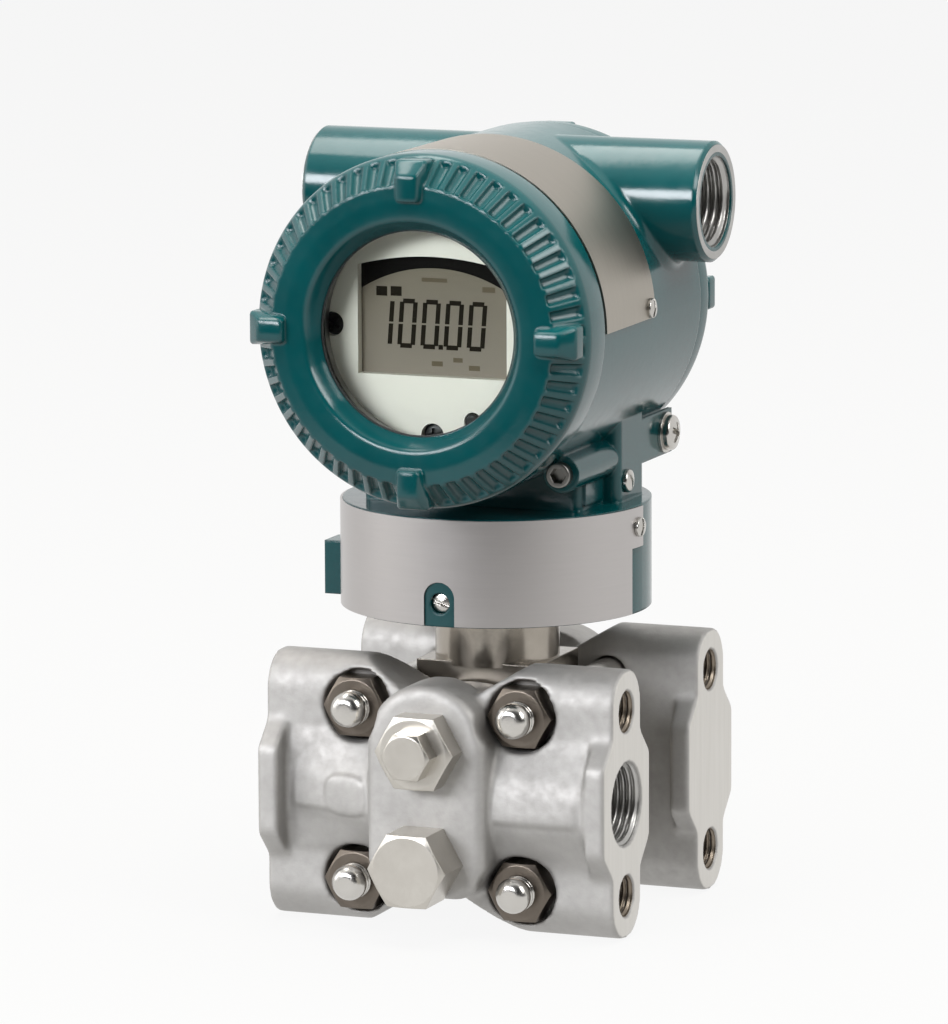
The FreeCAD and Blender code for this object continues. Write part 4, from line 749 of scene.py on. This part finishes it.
def screwHead(v, turn, made):
    # a turned head whose height is lowered to the recess's floor wherever the recess's outline covers it
    profile = softProfile([(0, -v["length"]), (v["shank"], -v["length"]), (v["shank"], 0), (v["radius"], 0),
                           (v["radius"], v["height"] - v["dome"], v["edge"]), (0, v["height"])])
    total = runAlong(profile)[-1]
    profile = resampled(profile, total - v["radius"] - v["height"], total, v["radius"] / made["steps"])[1]
    angle = around(made["samples"])
    grid = lathe(profile[:, 0], profile[:, 1], angle)
    if v["recess"] == "hex":
        edge = hexRadius(angle, v["width"])[:, None]
        slot = 1 - smoothStep(edge - made["soft"], edge + made["soft"], profile[:, 0] + 0 * edge)
    else:
        across = np.abs(grid[..., 0] * math.sin(turn) + grid[..., 1] * math.cos(turn))
        along = np.abs(grid[..., 0] * math.cos(turn) - grid[..., 1] * math.sin(turn))
        inside, outside = v["width"] / 2 - made["soft"], v["width"] / 2 + made["soft"]
        slot = (1 - smoothStep(inside, outside, across)) * (along < v["reach"])
        if v["recess"] == "cross":
            slot = np.maximum(slot, (1 - smoothStep(inside, outside, along)) * (across < v["reach"]))
    floor = v["height"] - v["depth"]
    grid[..., 2] -= slot * np.clip(grid[..., 2] - floor, 0, None)
    return grid, True, False


def makeScrews(name, node, way, kind, material, body="housing"):
    # way: the bearing of the heads, "ends" for front and back, or the round plate that carries them
    v, grids = screwValues[kind], []
    for index, (low, high) in enumerate(solidBoxes(node)):
        end = (low + high) / 2
        if way == "data_plate":  # straight out from the upright axis, on the plate's outside
            outwards = end * [1, 1, 0]
            rest = end * [0, 0, 1]
        elif way == "name_plate":  # straight out from the drum's axis
            axis = np.array([0, 0, cadBox(way)[0][2]])
            outwards = (end - axis) * [1, 0, 1]
            rest = end * [0, 1, 0] + axis
        if way in nodes:
            outwards = outwards / np.linalg.norm(outwards)
            end = rest + outwards * (cadBox(way)[1][0] + v["height"])
        else:
            bearing = way if way != "ends" else 0 if end[1] < 0 else 180
            outwards = facing(bearing)[2]
            end = end + outwards * (np.abs(outwards) @ (high - low)) / 2
        bearing = math.degrees(math.atan2(outwards[0], -outwards[1]))
        lift = math.degrees(math.asin(outwards[2]))
        head = screwHead(v, v["turn"] + screwMesh["nextTurn"] * index, screwMesh)
        grids.append(placed(head, end - outwards * v["height"], bearing, lift))
    makePiece(name, grids, material, body, [node], crease=32)


makeScrews("dataPlateScrews", "data_plate_screws", "data_plate", "plate", screwSteel)
makeScrews("namePlateScrews", "name_plate_screws", "name_plate", "plate", screwSteel)
makeScrews("coverLockScrews", "cover_lock_screws", "ends", "lock", lockSteel)
makeScrews("swivelLockScrews", "swivel_lock_screws", "ends", "swivel", screwSteel)
makeScrews("groundScrew", "ground_screw", 90, "ground", screwSteel)
makeScrews("zeroAdjustScrew", "zero_adjust_screw", 90, "zero", screwSteel, "zero_adjust_screw")
makeScrews("indicatorScrews", "indicator_screws", 0, "dial", blackPlastic)
makeScrews("terminalScrews", "terminal_screws", 180, "terminal", screwSteel)
print("screws made")

# Threads cut in the conduit entries, the process ports and the tapped holes of the flanges

threadValues = dict(
    conduit=dict(radius=10.2, length=15.6, pitch=1.814, depth=0.95, setBack=0.5, wall=0.6, faced=12.7),
    port=dict(radius=9.3, length=14.6, pitch=1.41, depth=0.8, setBack=0.7, wall=0.8),
    tapped=dict(radius=4.6, length=12.0, pitch=1.27, depth=0.6, setBack=0.6, wall=0.6),
    conduitAxis=(13.5, 158.9), flangeAxis=27.0, portHeight=30.0, tappedHeights=(9.35, 50.65), crease=40)
threadMesh = dict(samples=56, steps=10, leadIn=1.2, clear=0.03, ringSamples=96, ringSunk=0.3, ringRise=0.06,
                  ringChamfer=0.9, ringLap=0.05)


def threadLiner(v, made):
    # radius = bore - depth * crest(height / pitch - angle / full circle); a lead-in, and a plain wall behind
    angle = around(made["samples"])
    height = np.linspace(-v["setBack"], -v["length"], int(v["length"] / v["pitch"] * made["steps"]))
    wave = 1 - threadWave(height / v["pitch"] - angle[:, None] / tau)
    lead = smoothStep(v["setBack"], v["setBack"] + made["leadIn"], -height)
    radius = v["radius"] - made["clear"] - v["depth"] * wave * lead
    back = np.full((len(angle), 1), v["radius"] + v["wall"])
    ends = np.array([-v["length"], -v["setBack"]])
    levels = np.concatenate([ends, height]) + 0 * back
    return lathe(np.concatenate([back, back, radius], 1), levels, angle), True, True


def facedRing(v, made):
    # the bare face left by the cutter round the thread's mouth: a thin ring with a chamfer towards the bore
    radius, sunk, rise = v["radius"], made["ringSunk"], made["ringRise"]
    profile = np.array([
        (radius + sunk, -sunk), (v["faced"], -sunk), (v["faced"], rise), (radius + made["ringChamfer"], rise),
        (radius - made["ringLap"], -v["setBack"] - sunk)])
    return lathe(profile[:, 0], profile[:, 1], around(made["ringSamples"])), True, True


def makeThreads(values, made):
    low, high = cadBox("amplifier_housing")
    conduit, ports, tapped = [], [], []
    for x, turn in ((high[0], 90), (low[0], 270)):
        for grid in (threadLiner(values["conduit"], made), facedRing(values["conduit"], made)):
            conduit.append(placed(grid, (x, *values["conduitAxis"]), turn))
    for node, side, portTurn in (("front_flange", -1, 90), ("rear_flange", 1, 270)):
        low, high = cadBox(node)
        y = side * values["flangeAxis"]
        for x, turn in ((high[0], 90), (low[0], 270)):
            for z in values["tappedHeights"]:
                tapped.append(placed(threadLiner(values["tapped"], made), (x, y, z), turn))
            if turn == portTurn:
                ports.append(placed(threadLiner(values["port"], made), (x, y, values["portHeight"]), turn))
    crease = values["crease"]
    makePiece("conduitThreads", conduit, threadMetal, "housing", crease=crease)
    makePiece("portThreads", ports, threadMetal, "capsule", crease=crease)
    makePiece("tappedThreads", tapped, tappedMetal, "capsule", crease=crease)


makeThreads(threadValues, threadMesh)
print("threads made")

# Display: seven-segment digits, a dark band with an arched lower edge, and a few faint marks

displayValues = dict(
    text="100.00", middle=(-1.2, 135.6), pitch=5.45, height=10.9, width=4.2, stroke=1.05, lean=0.076, gap=0.2,
    skin=0.03, bandTop=151.6, bandLow=148.0, bandArc=33.0, bandHalf=18.4, bandPoints=41,
    blocks=[(-12.7, 142.5, 2.6, 2.1), (-9.3, 142.6, 2.6, 2.1)],
    faint=[(-0.26, 145.4, 6.0, 0.9), (12.5, 143.8, 3.0, 1.2), (0.33, 127.0, 2.6, 1.1), (5.2, 128.0, 2.2, 1.0),
           (9.07, 126.4, 2.6, 1.1)])


def barGrid(corners, front, skin):
    # a thin plate: four corners in the display's plane, with a face on each side and edges between
    corners = np.asarray(corners, float)
    middle = np.repeat(corners.mean(0)[None], 4, 0)
    rings = np.stack([middle, corners, corners, middle], 1)
    y = front + 0 * rings[..., 0] - np.array([0, 0, skin, skin])
    return np.stack([rings[..., 0], y, rings[..., 1]], -1), True, False


def boxCorners(x, z, width, height):
    return np.array([(-1, -1), (1, -1), (1, 1), (-1, 1)]) * (width / 2, height / 2) + (x, z)


def segmentCorners(x0, z0, x1, z1, stroke, gap):
    # one bar of a digit between two points, with a small gap at each end
    run = np.array([x1 - x0, z1 - z0], float)
    run = run / np.linalg.norm(run)
    across = np.array([-run[1], run[0]]) * stroke / 2
    start, end = np.array([x0, z0]) + run * gap, np.array([x1, z1]) - run * gap
    return np.array([start + across, start - across, end - across, end + across])


def makeDisplay(v):
    front = cadBox("lcd_panel")[0][1]
    half, tall = (v["width"] - v["stroke"]) / 2, (v["height"] - v["stroke"]) / 2
    bars = {"a": (-half, tall, half, tall), "b": (half, 0, half, tall), "c": (half, -tall, half, 0),
            "d": (-half, -tall, half, -tall), "e": (-half, -tall, -half, 0), "f": (-half, 0, -half, tall)}
    lit = {"0": "abcdef", "1": "bc"}
    digits = [mark for mark in v["text"] if mark != "."]
    grids = []
    for index, mark in enumerate(digits):
        x = v["middle"][0] + (index - (len(digits) - 1) / 2) * v["pitch"]
        for bar in lit[mark]:
            corners = segmentCorners(*bars[bar], v["stroke"], v["gap"])
            corners += np.stack([x + v["lean"] * corners[:, 1], 0 * corners[:, 1] + v["middle"][1]], 1)
            grids.append(barGrid(corners, front, v["skin"]))
    point = v["middle"][0] + (v["text"].index(".") - len(digits) / 2) * v["pitch"] - v["lean"] * tall
    dot = boxCorners(point, v["middle"][1] - tall, v["stroke"], v["stroke"])
    grids.append(barGrid(dot, front, v["skin"]))
    grids += [barGrid(boxCorners(*block), front, v["skin"]) for block in v["blocks"]]
    makePiece("displayDigits", grids, inkDark, "housing")
    faint = [barGrid(boxCorners(*mark), front, v["skin"]) for mark in v["faint"]]
    makePiece("displayFaintMarks", faint, inkFaint, "housing")
    # band: between an arc below and a straight top, closed at both ends
    x = np.linspace(-v["bandHalf"], v["bandHalf"], v["bandPoints"])
    low = v["bandLow"] - v["bandArc"] + np.sqrt(v["bandArc"] ** 2 - x ** 2)
    top = np.full_like(x, v["bandTop"])
    near, far = front - v["skin"] + 0 * x, front + 0 * x
    corners = [(x, far, low), (x, far, top), (x, near, top), (x, near, low)]
    ring = np.stack([np.stack(corner, 1) for corner in corners], 1)
    closing = [np.repeat(ring[end].mean(0)[None, None], 4, 1) for end in (0, -1)]
    band = np.concatenate([closing[0], ring, closing[1]])
    makePiece("displayBand", [(band, False, True)], inkBand, "housing")


makeDisplay(displayValues)
print("display made")
